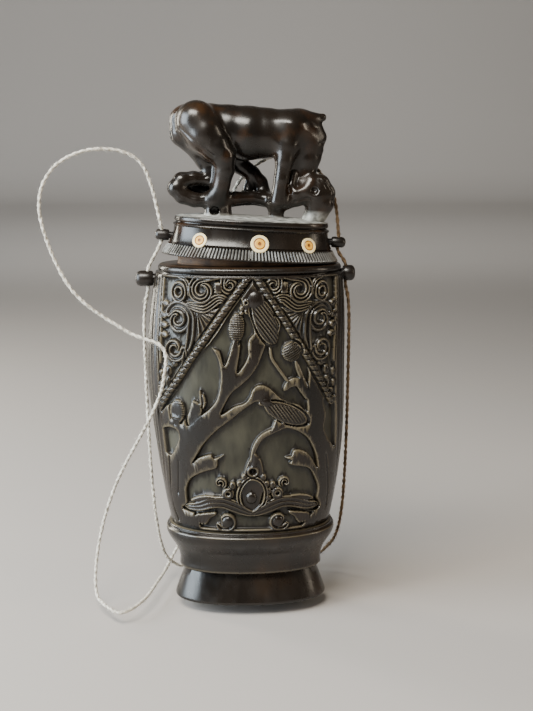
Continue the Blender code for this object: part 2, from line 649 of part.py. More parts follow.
def make_lug(name, lug, radius, shoulder, horn, seat=None):
    """A turned peg with a thin tenon in the wall, a round head and a hole for the twine."""
    outward = math.copysign(1.0, lug["tip"])
    reach = abs(lug["tip"]) - shoulder
    tenon = LUG_TENON * radius
    profile = [(abs(lug["root"]), 0.0), (abs(lug["root"]), tenon), (shoulder, tenon),
               (shoulder, 0.9 * radius), (shoulder + 0.35 * reach, radius), (shoulder + 0.8 * reach, radius),
               (shoulder + 0.95 * reach, 0.7 * radius), (abs(lug["tip"]), 0.0)]
    shape = bmesh.new()
    line = [shape.verts.new(Vector((x * outward, 0.0, r)) * MM) for x, r in profile]
    for first, second in zip(line, line[1:]):
        shape.edges.new((first, second))
    bmesh.ops.spin(shape, geom=shape.verts[:] + shape.edges[:], cent=(0, 0, 0), axis=(1, 0, 0),
                   angle=2 * math.pi, steps=12, use_merge=True)
    bmesh.ops.remove_doubles(shape, verts=shape.verts, dist=1e-6)
    bmesh.ops.recalc_face_normals(shape, faces=shape.faces)
    bmesh.ops.translate(shape, verts=shape.verts, vec=Vector((0, 0, lug["height"])) * MM)
    mesh = bpy.data.meshes.new(name)
    shape.to_mesh(mesh)
    shape.free()
    peg = as_object("peg", mesh, CUTTERS)
    hole = cylinder("hole", LUG_HOLE_RADIUS, (lug["hole"], 0, lug["height"] - 2 * radius),
                    (lug["hole"], 0, lug["height"] + 2 * radius), 10)
    combined(peg, hole, "DIFFERENCE")
    mesh = peg.data
    bpy.data.objects.remove(peg, do_unlink=True)
    made = as_object(name, mesh, PARTS, horn)
    made.parent = seat


# The twine: one loop from the knot up the right side, behind the figure, down the back, over the
# table, up the front's left edge into the free loop, and down through the left lugs to the knot
TWINE_ROUTE = [
    (KNOT_PLACE[0] + KNOT_HALF[0] + TOUCH_GAP, 25.0, 0.9), (17.0, 27.6, 0.65), (26.2, 24.4, 3.8),
    (30.4, 11.5, 24.0), (30.1, -0.8, 84.0), (28.9, 0.0, 98.2), (28.9, 0.0, 103.6), (26.5, 0.0, 107.9),
    (26.7, 0.0, 112.5),
    (24.9, 3.0, 125.0), (17.4, 8.6, 134.6), (6.7, 10.1, 135.2), (-3.8, 10.4, 126.2), (-6.0, 16.8, 110.0),
    (-6.0, 20.6, 76.0), (-14.5, 18.0, 26.0), (-24.4, 24.8, 4.2), (-28.4, 12.4, 0.65), (-33.6, -7.6, 0.65),
    (-40.5, -16.0, 0.65), (-48.0, -4.0, 1.2), (-47.6, 1.9, 16.0), (-41.5, 0.8, 36.0), (-29.1, -9.4, 61.4),
    (-25.6, -14.0, 73.0), (-26.2, -13.2, 81.2), (-37.0, -10.4, 85.8), (-52.5, -8.4, 98.0), (-60.8, -6.0, 119.0),
    (-57.0, -4.7, 132.0), (-44.7, -3.3, 137.6), (-31.8, -1.1, 133.6), (-26.2, 0.0, 115.0), (-26.4, 0.0, 110.5),
    (-30.4, 0.0, 102.3), (-30.4, 0.0, 97.1), (-32.1, 4.6, 80.0), (-29.8, 9.4, 21.0), (-22.6, 20.0, 0.65),
    (KNOT_PLACE[0] - KNOT_HALF[0] - TOUCH_GAP, 25.0, 0.9),
]


def smooth_route(points, spacing):
    """Places about a spacing apart on one smooth curve through the given points."""
    points = [Vector(point) for point in points]
    ahead = [2 * points[0] - points[1]] + points + [2 * points[-1] - points[-2]]
    places = [points[0]]
    for before, start, end, after in zip(ahead, ahead[1:], ahead[2:], ahead[3:]):
        steps = max(1, round((end - start).length / spacing))
        for i in range(1, steps + 1):
            t = i / steps
            place = start + 0.5 * (t * (end - before) + t ** 2 * (2 * before - 5 * start + 4 * end - after)
                                   + t ** 3 * (3 * start - before - 3 * end + after))
            place.z = max(place.z, TWINE_LOWEST)
            places.append(place)
    return places


def make_cord(fibre):
    """The loop of twine, open at its knot."""
    curve = bpy.data.curves.new("cord", "CURVE")
    curve.dimensions = "3D"
    curve.bevel_depth = TWINE_DIAMETER / 2 * MM
    curve.bevel_resolution = 2
    curve.use_fill_caps = True
    places = smooth_route(TWINE_ROUTE, TWINE_SEGMENT)
    line = curve.splines.new("POLY")
    line.points.add(len(places) - 1)
    for point, place in zip(line.points, places):
        point.co = (*(place * MM), 1.0)
    made = bpy.data.objects.new("cord", curve)
    PARTS.objects.link(made)
    curve.materials.append(fibre)


def make_knot(fibre):
    """The small knot that closes the loop, lying behind the foot."""
    shape = bmesh.new()
    size = Matrix.Diagonal((*(Vector(KNOT_HALF) * MM), 1.0))
    bmesh.ops.create_icosphere(shape, subdivisions=2, radius=1.0,
                               matrix=Matrix.Translation(Vector(KNOT_PLACE) * MM) @ size)
    mesh = bpy.data.meshes.new("cord_knot")
    shape.to_mesh(mesh)
    shape.free()
    as_object("cord_knot", mesh, PARTS, fibre)


def main():
    """Builds every piece."""
    horn, foot_horn = finish("horn", HORN), finish("foot_horn", HORN_FOOT)
    bone, fibre = finish("bone", BONE), finish("twine", TWINE_FIBRE)
    seat = bpy.data.objects.new("lid_seat", None)
    PARTS.objects.link(seat)
    seat.matrix_world = Matrix.Translation(lid_point(0, 0, 0) * MM) @ Matrix.Rotation(LID_TILT, 4, "Y")
    bpy.context.view_layer.update()
    make_body(horn)
    make_foot(foot_horn)
    make_lid(horn, seat)
    for face, side in ((-1, "front"), (1, "back")):
        for place, across in INLAYS.items():
            make_inlay(f"inlay_{side}_{place}", across, face, bone, seat)
    for side, lug in BODY_LUGS.items():
        widest = lug["height"] - BODY_LUG_RADIUS
        outward = math.copysign(1.0, lug["tip"])
        shoulder = body_half(widest)[0] + outward * body_lean(widest) + TOUCH_GAP
        make_lug(f"body_lug_{side}", lug, BODY_LUG_RADIUS, shoulder, horn)
    for side, lug in LID_LUGS.items():
        shoulder = lid_half(lug["height"] - LID_LUG_RADIUS)[0] + TOUCH_GAP
        make_lug(f"lid_lug_{side}", lug, LID_LUG_RADIUS, shoulder, horn, seat)
    make_cord(fibre)
    make_knot(fibre)


main()
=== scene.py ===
"""The horn flask as it looks: a carved horn body on a turned foot, a lid carved with a monkey on a
branch, bone inlays, pegged lugs and a loop of twine. Sizes are the carver's millimetres.
"""
import math

import bmesh
import bpy
import numpy as np
import openvdb
from mathutils import Matrix, Vector


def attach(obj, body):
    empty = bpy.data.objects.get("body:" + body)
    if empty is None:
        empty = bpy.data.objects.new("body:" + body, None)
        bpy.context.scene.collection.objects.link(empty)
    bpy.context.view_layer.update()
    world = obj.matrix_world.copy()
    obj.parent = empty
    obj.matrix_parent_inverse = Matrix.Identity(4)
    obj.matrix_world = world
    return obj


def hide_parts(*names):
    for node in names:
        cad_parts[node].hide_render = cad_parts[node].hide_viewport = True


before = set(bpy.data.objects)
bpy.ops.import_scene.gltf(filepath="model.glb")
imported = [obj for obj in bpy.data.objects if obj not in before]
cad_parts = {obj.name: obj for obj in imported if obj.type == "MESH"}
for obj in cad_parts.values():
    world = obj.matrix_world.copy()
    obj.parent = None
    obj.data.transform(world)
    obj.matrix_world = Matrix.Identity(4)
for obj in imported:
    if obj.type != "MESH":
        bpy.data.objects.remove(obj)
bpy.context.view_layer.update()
MM = 0.001

# Camera: a phone held a little above the lid, tipped down and turned slightly to the right.
CAMERA_PLACE = (-14.5, -319.7, 136.8)
CAMERA_DIP = 10.78
CAMERA_TURN = -3.5
CAMERA_LENS = 54.13
camera_data = bpy.data.cameras.new("camera")
camera_data.lens = CAMERA_LENS
camera_data.clip_start = 0.01
camera = bpy.data.objects.new("camera", camera_data)
camera.location = Vector(CAMERA_PLACE) * MM
camera.rotation_euler = (math.radians(90 - CAMERA_DIP), 0.0, math.radians(CAMERA_TURN))
bpy.context.collection.objects.link(camera)
bpy.context.scene.camera = camera


# Twine: thin two-ply hemp, twisted and fuzzy, grey cream and darker, browner towards the right. One loop runs
# through all four lugs and round behind the flask, and is knotted behind the foot.
TWINE_DIAMETER = 1.1
TWINE_LOWEST = 0.62
PLY_RADIUS = 0.36
PLY_PITCH = 4.2
TWINE_RING = 0.4
FIBRES = 9000
FIBRE_ROOT = 0.42
FIBRE_SHORTEST = 0.5
FIBRE_SPREAD = 1.1
FIBRE_HALF = 0.035
FIBRE_LOWEST = 0.04
TWINE_ROUTE = [
    (1.8, 25.0, 0.9), (17.0, 27.6, 0.65), (26.2, 24.4, 3.8), (30.4, 11.5, 24.0), (30.1, -0.8, 84.0),
    (28.9, 0.0, 98.2), (28.9, 0.0, 103.6), (26.5, 0.0, 107.9), (26.7, 0.0, 112.5), (24.9, 3.0, 125.0),
    (17.4, 8.6, 134.6), (6.7, 10.1, 135.2), (-3.8, 10.4, 126.2), (-6.0, 16.8, 110.0), (-6.0, 20.6, 76.0),
    (-14.5, 18.0, 26.0), (-24.4, 24.8, 4.2), (-28.4, 12.4, 0.65), (-33.6, -7.6, 0.65),
    (-40.5, -16.0, 0.65), (-48.0, -4.0, 1.2), (-47.6, 1.9, 16.0), (-41.5, 0.8, 36.0),
    (-29.1, -9.4, 61.4), (-25.6, -14.0, 73.0), (-26.2, -13.2, 81.2), (-37.0, -10.4, 85.8),
    (-52.5, -8.4, 98.0), (-60.8, -6.0, 119.0), (-57.0, -4.7, 132.0), (-44.7, -3.3, 137.6),
    (-31.8, -1.1, 133.6), (-26.2, 0.0, 115.0), (-26.4, 0.0, 110.5), (-30.4, 0.0, 102.3),
    (-30.4, 0.0, 97.1), (-32.1, 4.6, 80.0), (-29.8, 9.4, 21.0), (-22.6, 20.0, 0.65), (-1.8, 25.0, 0.9),
]
KNOT = [(1.8, 25.0, 0.9), (0.6, 25.6, 1.5), (-0.5, 24.7, 1.7), (-0.5, 24.2, 0.8), (0.6, 24.6, 0.6),
        (0.9, 25.6, 1.0), (-0.1, 26.0, 1.6), (-0.9, 25.2, 1.3), (-1.8, 25.0, 0.9)]


def smooth_line(points, spacing):
    """Places about a spacing apart on one smooth curve through the given points."""
    points = np.array(points, float)
    ahead = np.vstack([2 * points[0] - points[1], points, 2 * points[-1] - points[-2]])
    places = [points[:1]]
    for before, start, end, after in zip(ahead, ahead[1:], ahead[2:], ahead[3:]):
        steps = max(1, round(np.linalg.norm(end - start) / spacing))
        t = (np.arange(steps) + 1)[:, None] / steps
        places.append(start + 0.5 * (t * (end - before) + t ** 2 * (2 * before - 5 * start + 4 * end - after)
                                     + t ** 3 * (3 * start - before - 3 * end + after)))
    return np.vstack(places)


def mesh_object(name, points, faces):
    """A smooth-shaded mesh of the given points, in millimetres, and faces."""
    mesh = bpy.data.meshes.new(name)
    mesh.from_pydata(np.asarray(points) * MM, [], faces)
    mesh.validate()
    mesh.shade_smooth()
    made = bpy.data.objects.new(name, mesh)
    bpy.context.collection.objects.link(made)
    return made


def twisted_strand(line, sides=14):
    """Points and faces of two plies twisted together along a line, closed at its ends."""
    ahead = np.gradient(line, axis=0)
    ahead /= np.linalg.norm(ahead, axis=1)[:, None]
    run = np.concatenate([[0.0], np.cumsum(np.linalg.norm(np.diff(line, axis=0), axis=1))])
    side = np.cross(ahead[0], (0.3, 0.2, 1.0))
    points, faces = [], []
    turn = np.arange(sides) / sides * 2 * math.pi
    offset = TWINE_DIAMETER / 2 - PLY_RADIUS
    for i, (place, way) in enumerate(zip(line, ahead)):
        side = side - way * side.dot(way)
        side = side / np.linalg.norm(side)
        up = np.cross(way, side)
        angle = turn - run[i] / PLY_PITCH * 2 * math.pi
        reach = offset * np.abs(np.cos(angle)) + np.sqrt(PLY_RADIUS ** 2 - (offset * np.sin(angle)) ** 2)
        reach = reach * (1 + 0.07 * math.sin(1.9 * run[i]) + 0.05 * math.sin(0.67 * run[i]))
        points.append(place + reach[:, None] * (np.cos(turn)[:, None] * side + np.sin(turn)[:, None] * up))
    for i in range(len(line) - 1):
        for k in range(sides):
            m = (k + 1) % sides
            faces.append((i * sides + k, i * sides + m, (i + 1) * sides + m, (i + 1) * sides + k))
    faces.append(tuple(reversed(range(sides))))
    faces.append(tuple(range((len(line) - 1) * sides, len(line) * sides)))
    return np.vstack(points), faces


def loose_fibres(line, count, chance):
    """Thin pointed fibres that stand off a strand, as points and faces."""
    points, faces = [], []
    ahead = np.gradient(line, axis=0)
    ahead /= np.linalg.norm(ahead, axis=1)[:, None]
    for _ in range(count):
        i = chance.integers(len(line))
        way = ahead[i]
        out = chance.normal(size=3)
        out -= way * out.dot(way)
        out /= np.linalg.norm(out)
        side = np.cross(way, out)
        root = line[i] + FIBRE_ROOT * out
        length = FIBRE_SHORTEST + FIBRE_SPREAD * chance.random() ** 2
        lean = (chance.random() - 0.5) * 2.4
        middle = root + length * (0.35 * out + 0.4 * lean * way)
        tip = middle + length * (0.25 * out + 0.3 * lean * way + 0.4 * (chance.random() - 0.5) * side)
        first = len(points)
        points += [root + FIBRE_HALF * side, root - FIBRE_HALF * side, root + 0.04 * way,
                   middle + 0.02 * side, tip]
        faces += [(first, first + 1, first + 3), (first + 1, first + 2, first + 3),
                  (first + 2, first, first + 3), (first, first + 3, first + 4)]
    return np.array(points), faces


twine_line = smooth_line(TWINE_ROUTE, TWINE_RING)
twine_line[:, 2] = np.maximum(twine_line[:, 2], TWINE_LOWEST)
chance = np.random.default_rng(11)
shape_points, shape_faces = [], []
for points, faces in (twisted_strand(twine_line), twisted_strand(smooth_line(KNOT, 0.25)),
                      loose_fibres(twine_line, FIBRES, chance)):
    shift = sum(len(group) for group in shape_points)
    shape_points.append(points)
    shape_faces += [tuple(k + shift for k in face) for face in faces]
shape_points = np.vstack(shape_points)
shape_points[:, 2] = np.maximum(shape_points[:, 2], FIBRE_LOWEST)
twine = mesh_object("twine", shape_points, shape_faces)


def node_material(name, roughness, ior=1.5):
    """A material with its node tree and shader."""
    made = bpy.data.materials.new(name)
    made.use_nodes = True
    shader = made.node_tree.nodes["Principled BSDF"]
    shader.inputs["Roughness"].default_value = roughness
    shader.inputs["IOR"].default_value = ior
    return made, made.node_tree, shader


def noise(tree, scale, detail=3.0, stretch=(1, 1, 1), turn=(0, 0, 0)):
    """Noise over the piece's own coordinates, in waves per metre."""
    place = tree.nodes.new("ShaderNodeTexCoord")
    mapping = tree.nodes.new("ShaderNodeMapping")
    mapping.inputs["Scale"].default_value = stretch
    mapping.inputs["Rotation"].default_value = turn
    texture = tree.nodes.new("ShaderNodeTexNoise")
    texture.inputs["Scale"].default_value = scale
    texture.inputs["Detail"].default_value = detail
    tree.links.new(place.outputs["Object"], mapping.inputs["Vector"])
    tree.links.new(mapping.outputs["Vector"], texture.inputs["Vector"])
    return texture.outputs["Fac"]


def ramp(tree, value, stops):
    """Colours or greys over a value: stops are (place, colour)."""
    made = tree.nodes.new("ShaderNodeValToRGB")
    bar = made.color_ramp
    for stop in stops[2:]:
        bar.elements.new(stop[0])
    for element, (place, colour) in zip(bar.elements, sorted(stops, key=lambda stop: stop[0])):
        element.position = place
        element.color = (*colour, 1.0) if isinstance(colour, tuple) else (colour, colour, colour, 1.0)
    tree.links.new(value, made.inputs["Fac"])
    return made.outputs["Color"]


def mixed(tree, amount, first, second, way="MIX"):
    """Two colours mixed by an amount; each of the three is a socket or a constant."""
    made = tree.nodes.new("ShaderNodeMix")
    made.data_type = "RGBA"
    made.blend_type = way
    for number, value in ((0, amount), (6, first), (7, second)):
        socket = made.inputs[number]
        if isinstance(value, bpy.types.NodeSocket):
            tree.links.new(value, socket)
        else:
            socket.default_value = (*value, 1.0) if isinstance(value, tuple) else value
    return made.outputs[2]


def bumped(tree, shader, height, distance, strength=1.0):
    """Small relief on the shading alone, its height in millimetres."""
    made = tree.nodes.new("ShaderNodeBump")
    made.inputs["Distance"].default_value = distance * MM
    made.inputs["Strength"].default_value = strength
    tree.links.new(height, made.inputs["Height"])
    last = shader.inputs["Normal"]
    if last.is_linked:
        tree.links.new(last.links[0].from_socket, made.inputs["Normal"])
    tree.links.new(made.outputs["Normal"], last)


def along_axis(tree, axis, low, high):
    """0 to 1 along one of the piece's own axes between two places in millimetres."""
    place = tree.nodes.new("ShaderNodeTexCoord")
    split = tree.nodes.new("ShaderNodeSeparateXYZ")
    span = tree.nodes.new("ShaderNodeMapRange")
    span.inputs["From Min"].default_value = low * MM
    span.inputs["From Max"].default_value = high * MM
    tree.links.new(place.outputs["Object"], split.inputs[0])
    tree.links.new(split.outputs[axis], span.inputs["Value"])
    return span.outputs["Result"]


# Cream tints at the left, blending along X into darker brown tints towards the right end.
CREAM_TINTS = [(0.3, (0.30, 0.27, 0.22)), (0.55, (0.62, 0.58, 0.50)), (0.8, (0.80, 0.77, 0.69))]
RIGHT_END_TINTS = [(0.3, (0.035, 0.022, 0.012)), (0.7, (0.23, 0.15, 0.08))]
fibre, tree, shader = node_material("twine fibre", 0.9)
cream_colour = ramp(tree, noise(tree, 900), CREAM_TINTS)
right_end_colour = ramp(tree, noise(tree, 700), RIGHT_END_TINTS)
colour = mixed(tree, along_axis(tree, "X", 12.0, 26.0), cream_colour, right_end_colour)
tree.links.new(colour, shader.inputs["Base Color"])
shader.inputs["Specular IOR Level"].default_value = 0.2
bumped(tree, shader, noise(tree, 3000), 0.1)
twine.data.materials.append(fibre)

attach(twine, "root")
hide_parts("cord", "cord_knot")


# Studio: a plain pale floor that rises behind, a big window light from the left and soft fills.
SWEEP = [(-600.0, 0.0), (500.0, 0.0), (760.0, 60.0), (900.0, 260.0), (940.0, 1400.0)]
SWEEP_WIDTH = 3000.0
PAPER_TINT = (0.37, 0.34, 0.315, 1.0)
LIT_POINT = Vector((0, 0, 80))
ROOM_TINT = (0.60, 0.58, 0.56, 1.0)
ROOM_LIGHT = 0.08


def finished(name, shape, scale=MM):
    """A smooth-shaded object from a shape in millimetres, with its faces outwards."""
    bmesh.ops.recalc_face_normals(shape, faces=shape.faces)
    bmesh.ops.scale(shape, vec=(scale, scale, scale), verts=shape.verts)
    mesh = bpy.data.meshes.new(name)
    shape.to_mesh(mesh)
    shape.free()
    mesh.shade_smooth()
    made = bpy.data.objects.new(name, mesh)
    bpy.context.collection.objects.link(made)
    return made


shape = bmesh.new()
edge = [shape.verts.new((-SWEEP_WIDTH / 2, y, z)) for y, z in smooth_line(SWEEP, 40.0)]
sides = [shape.edges.new(pair) for pair in zip(edge, edge[1:])]
pulled = bmesh.ops.extrude_edge_only(shape, edges=sides)["geom"]
far_side = [part for part in pulled if isinstance(part, bmesh.types.BMVert)]
bmesh.ops.translate(shape, vec=(SWEEP_WIDTH, 0, 0), verts=far_side)
floor = finished("floor", shape)
paper, tree, shader = node_material("pale paper", 0.8)
shader.inputs["Base Color"].default_value = PAPER_TINT
floor.data.materials.append(paper)

# Each light: name, place, width and height, colour, watts.
LIGHTS = [
    ("window", (-560, -170, 250), (400, 480), (0.80, 0.91, 1.0), 11.0),
    ("skylight", (-190, -330, 560), (380, 200), (1.0, 0.96, 0.88), 7.5),
    ("left rim", (-470, 330, 220), (120, 420), (1.0, 0.95, 0.82), 3.0),
    ("right fill", (520, -160, 240), (60, 360), (1.0, 0.86, 0.68), 0.8),
]
for name, place, size, colour, power in LIGHTS:
    lamp = bpy.data.lights.new(name, "AREA")
    lamp.shape = "RECTANGLE"
    lamp.size, lamp.size_y = size[0] * MM, size[1] * MM
    lamp.energy = power
    lamp.color = colour
    placed = bpy.data.objects.new(name, lamp)
    placed.location = Vector(place) * MM
    placed.rotation_euler = (LIT_POINT - Vector(place)).to_track_quat("-Z", "Y").to_euler()
    bpy.context.collection.objects.link(placed)
world = bpy.data.worlds.new("studio")
world.use_nodes = True
world.node_tree.nodes["Background"].inputs["Color"].default_value = ROOM_TINT
world.node_tree.nodes["Background"].inputs["Strength"].default_value = ROOM_LIGHT
bpy.context.scene.world = world


# Body: one flattened length of buffalo horn, hollowed and carved in low relief through to a sunk
# ground, polished where hands reach and left dull and dusty in the ground. The back is plainer.
SQUARENESS = 2.25
DRUM_BOTTOM = 25.2
DRUM_TOP = 101.9
RIM_TOP = 104.2
BELLY_HEIGHT = 75.0
WAIST_HALF = (24.6, 15.9)
BELLY_HALF = (29.95, 19.2)
SHOULDER_HALF = (27.9, 17.4)
BELLY_LEAN = 1.2
BELLY_LEAN_REACH = 20.0
WALL = 3.2
SKIRT_BOTTOM = 9.9
SKIRT_HALF = (21.9, 11.4)
LEDGE_SPREAD = (4.2, 5.2)
COLLAR_INSET = 6.5
COLLAR_WALL = 2.2
COLLAR_HEIGHT = 4.0
SOCKET_HALF = (17.6, 7.1)
SOCKET_TOP = 21.2
GROUND_DEPTH = 1.5
SPANDREL_DEPTH = 1.25
# Heights of the ledge's edge lines, which get a painted highlight.
LEDGE_LINES = (24.6, 23.1, 10.3)
HIGHLIGHT_LINE_REACH = 0.35
HIGHLIGHT_LINE_SHARE = 0.3
PANEL_HALF = 28.6
PANEL_TOP = 101.4
SIDE_LINE_PITCH = 2.2
SIDE_LINE_DEPTH = 0.14
CARVED_REACH = 31.5
FRONT_STEP = 0.2
SIDE_STEP = 0.45
BODY_TRIANGLES = 190000


def oval(half, fractions):
    """Places round a flattened oval from the back line over the left side, and its length round."""
    angle = np.linspace(-math.pi, math.pi, 1441)
    across, along = np.sin(angle), -np.cos(angle)
    x = half[0] * np.sign(across) * np.abs(across) ** (2 / SQUARENESS)
    y = half[1] * np.sign(along) * np.abs(along) ** (2 / SQUARENESS)
    walked = np.concatenate([[0.0], np.cumsum(np.hypot(np.diff(x), np.diff(y)))])
    where = fractions * walked[-1]
    return np.interp(where, walked, x), np.interp(where, walked, y), walked[-1]


def inset(half, amount):
    """An oval's half sizes, smaller by the same amount all round."""
    return half[0] - amount, half[1] - amount


def body_half(height):
    """Half sizes of the uncarved body at a height: a barrel, fuller above its waist."""
    end, reach = (SHOULDER_HALF, DRUM_TOP - BELLY_HEIGHT) if height > BELLY_HEIGHT else (
        WAIST_HALF, BELLY_HEIGHT - DRUM_BOTTOM)
    fall = ((height - BELLY_HEIGHT) / reach) ** 2
    return tuple(belly - (belly - low) * fall for belly, low in zip(BELLY_HALF, end))


def body_lean(height):
    """How far the bowed horn stands to the side at a height."""
    return -BELLY_LEAN * math.exp(-((height - BELLY_HEIGHT) / BELLY_LEAN_REACH) ** 2)


class Relief:
    """A height over a set of places on the unrolled panel, carved stroke by stroke."""

    def __init__(self, u, z, height=None):
        self.u, self.z = u, z
        self.height = np.zeros(u.shape) if height is None else height

    def near(self, points, margin):
        """Which places are near a stroke's own points."""
        low, high = points.min(axis=0) - margin, points.max(axis=0) + margin
        return (self.u > low[0]) & (self.u < high[0]) & (self.z > low[1]) & (self.z < high[1])

    def follow(self, points, margin, spacing=1.0):
        """Distance to the side of a smooth line, run along it, its length and the places it is near."""
        line = smooth_line(points, spacing)
        here = self.near(line, margin)
        u, z = self.u[here], self.z[here]
        best = np.full(u.shape, 1e3)
        side, run = np.zeros(u.shape), np.zeros(u.shape)
        walked = 0.0
        for (u0, z0), (u1, z1) in zip(line, line[1:]):
            du, dz = u1 - u0, z1 - z0
            length = math.hypot(du, dz)
            if length < 1e-6:
                continue
            part = np.clip(((u - u0) * du + (z - z0) * dz) / length ** 2, 0, 1)
            away_u, away_z = u - u0 - part * du, z - z0 - part * dz
            away = np.hypot(away_u, away_z)
            closer = away < best
            best = np.where(closer, away, best)
            side = np.where(closer, away * np.sign(du * away_z - dz * away_u), side)
            run = np.where(closer, walked + part * length, run)
            walked += length
        return side, run, walked, here

    def sunk(self, outline, depth, edge=0.45):
        """Sinks the ground inside a closed outline, with steep sides."""
        outline = np.array(outline, float)
        here = self.near(outline, 1.0)
        u, z = self.u[here], self.z[here]
        inside = np.zeros(u.shape, bool)
        away = np.full(u.shape, 1e3)
        for (u0, z0), (u1, z1) in zip(outline, np.roll(outline, -1, axis=0)):
            du, dz = u1 - u0, z1 - z0
            part = np.clip(((u - u0) * du + (z - z0) * dz) / (du * du + dz * dz), 0, 1)
            away = np.minimum(away, np.hypot(u - u0 - part * du, z - z0 - part * dz))
            crosses = ((z0 > z) != (z1 > z)) & (u < u0 + (z - z0) * du / (dz if dz else 1e-9))
            inside ^= crosses
        signed = np.where(inside, away, -away)
        share = np.clip(0.5 + signed / edge, 0, 1)
        share = share * share * (3 - 2 * share)
        self.height[here] = np.minimum(self.height[here], -depth * share)

    def band(self, points, half, ridges=1, top=0.0, depth=0.5, taper=0.25, spacing=1.0):
        """A raised band along a line, with rounded ridges along it that thin out at its ends."""
        side, run, length, here = self.follow(points, half + 0.6, spacing)
        ends = np.clip(np.minimum(run, length - run) / (taper * length + 1e-6), 0, 1)
        reach = half * (0.35 + 0.65 * np.sqrt(ends))
        across = np.abs(side) / reach
        if ridges == 1:
            form = np.sqrt(np.clip(1 - across ** 2, 0, 1))
            height = top - depth * (1 - form)
        else:
            start = 0.5 if ridges % 2 == 0 else 0.0
            wave = 0.5 + 0.5 * np.cos(2 * math.pi * (side / reach * ridges / 2 + start))
            height = top - 1.5 * depth * (1 - wave ** 0.6)
        self.height[here] = np.where(across < 1, np.maximum(self.height[here], height), self.height[here])

    def plateau(self, points, half, top=0.0, edge=0.4, taper=0.3):
        """A flat-topped stroke with steep sides and thinner ends."""
        side, run, length, here = self.follow(points, half + 0.6)
        ends = np.clip(np.minimum(run, length - run) / (taper * length + 1e-6), 0, 1)
        away = half * (0.25 + 0.75 * np.sqrt(ends)) - np.abs(side)
        share = np.clip(0.5 + away / edge, 0, 1)
        floor_height = self.height[here]
        lifted = floor_height + (top - floor_height) * share * share * (3 - 2 * share)
        self.height[here] = np.maximum(floor_height, lifted)

    def knob(self, middle, size, top=0.0, depth=0.9, pit=0.0):
        """A domed oval, with a pit in its middle if wanted."""
        out = np.hypot((self.u - middle[0]) / size[0], (self.z - middle[1]) / size[1])
        here = out < 1
        height = top - depth * (1 - np.sqrt(1 - out[here] ** 2))
        if pit:
            height = height - depth * np.clip(1.3 - out[here] / pit, 0, 1)
        self.height[here] = np.maximum(self.height[here], height)
        if pit:
            core = here & (out < pit)
            self.height[core] = np.minimum(self.height[core], top - depth * 1.1)

    def rings(self, middle, size, count, top=0.0, depth=0.55, hole=0.25):
        """Ridged rings round a hole."""
        out = np.hypot((self.u - middle[0]) / size[0], (self.z - middle[1]) / size[1])
        here = out < 1
        wave = 0.5 + 0.5 * np.cos(2 * math.pi * ((out[here] - hole) / (1 - hole) * count - 0.5))
        height = top - 1.5 * depth * (1 - wave ** 0.6)
        height = np.where(out[here] < hole, top - 1.4, height)
        self.height[here] = height

    def scroll(self, middle, radius, hand, start, turns=1.25, ridges=3, tail=(), half=None, top=0.0):
        """A ridged band that curls in to an eye, with a tail that leads into it."""
        steps = round(turns * 10)
        curl = []
        for i in range(steps + 1):
            part = i / steps
            angle = start + hand * part * turns * 2 * math.pi
            reach = 0.85 * radius * (1 - 0.6 * part)
            curl.append((middle[0] + reach * math.cos(angle), middle[1] + reach * math.sin(angle)))
        half = half or radius * 0.38
        self.band(list(tail) + curl, half, ridges, top, 0.6, 0.12, 0.6)
        eye = np.hypot(self.u - middle[0], self.z - middle[1]) / (0.27 * radius)
        here = eye < 1
        self.height[here] = np.minimum(self.height[here], top - 1.1 + 0.5 * eye[here] ** 2)

    def rope(self, points, half=1.1, pitch=2.0, shear=0.5, top=0.3):
        """A twisted cord of slanted beads with a dark channel on each side."""
        side, run, _, here = self.follow(points, half + 1.2, 2.0)
        out = np.abs(side) / half
        channel = np.clip(1.9 - out, 0, 1) * (out > 1)
        low = np.minimum(self.height[here], -1.5 * channel)
        phase = (run + shear * side) / pitch
        bead = np.abs(2 * (phase - np.floor(phase)) - 1)
        form = np.sqrt(np.clip(1 - out ** 2, 0, 1)) * (0.3 + 0.7 * np.sqrt(np.clip(1 - bead ** 2.5, 0, 1)))
        self.height[here] = np.where(out < 1, top - 1.2 * (1 - form), low)

    def dome(self, middle, size, turn, channel):
        """Cuts a channel round a turned oval; gives the places across, along and up its dome."""
        u, z = self.u - middle[0], self.z - middle[1]
        c, s = math.cos(turn), math.sin(turn)
        across, along = (c * u + s * z), (c * z - s * u)
        out = np.hypot(across / size[0], along / size[1])
        edge = (out >= 1) & (out < channel)
        self.height[edge] = np.minimum(self.height[edge], -0.9)
        here = out < 1
        return across[here], along[here], np.sqrt(1 - out[here] ** 2), here

    def cone(self, middle, size, turn=0.0, pitch=0.9):
        """A scaly fir-like cone."""
        across, along, dome, here = self.dome(middle, size, turn, 1.22)
        one_way = np.cos((across + 0.7 * along) / pitch * 2 * math.pi)
        other_way = np.cos((across - 0.7 * along) / pitch * 2 * math.pi)
        height = 0.35 - 1.2 * (1 - dome) + 0.32 * (one_way * other_way)
        self.height[here] = np.maximum(self.height[here], height)

    def cut_line(self, points, half=0.45, depth=0.5):
        """A thin groove along a line."""
        side, run, length, here = self.follow(points, half + 0.2)
        self.height[here] -= depth * np.clip(1 - (side / half) ** 2, 0, 1) * (run > 0) * (run < length)

    def feathered(self, middle, size, turn, pitch=0.8, slant=0.0, top=0.2):
        """A bird's body: a dome with long feather lines."""
        across, along, dome, here = self.dome(middle, size, turn, 1.18)
        lines = np.cos((across + slant * along) / pitch * 2 * math.pi)
        height = top + 0.3 - 1.3 * (1 - dome) + 0.22 * lines
        self.height[here] = np.maximum(self.height[here], height)


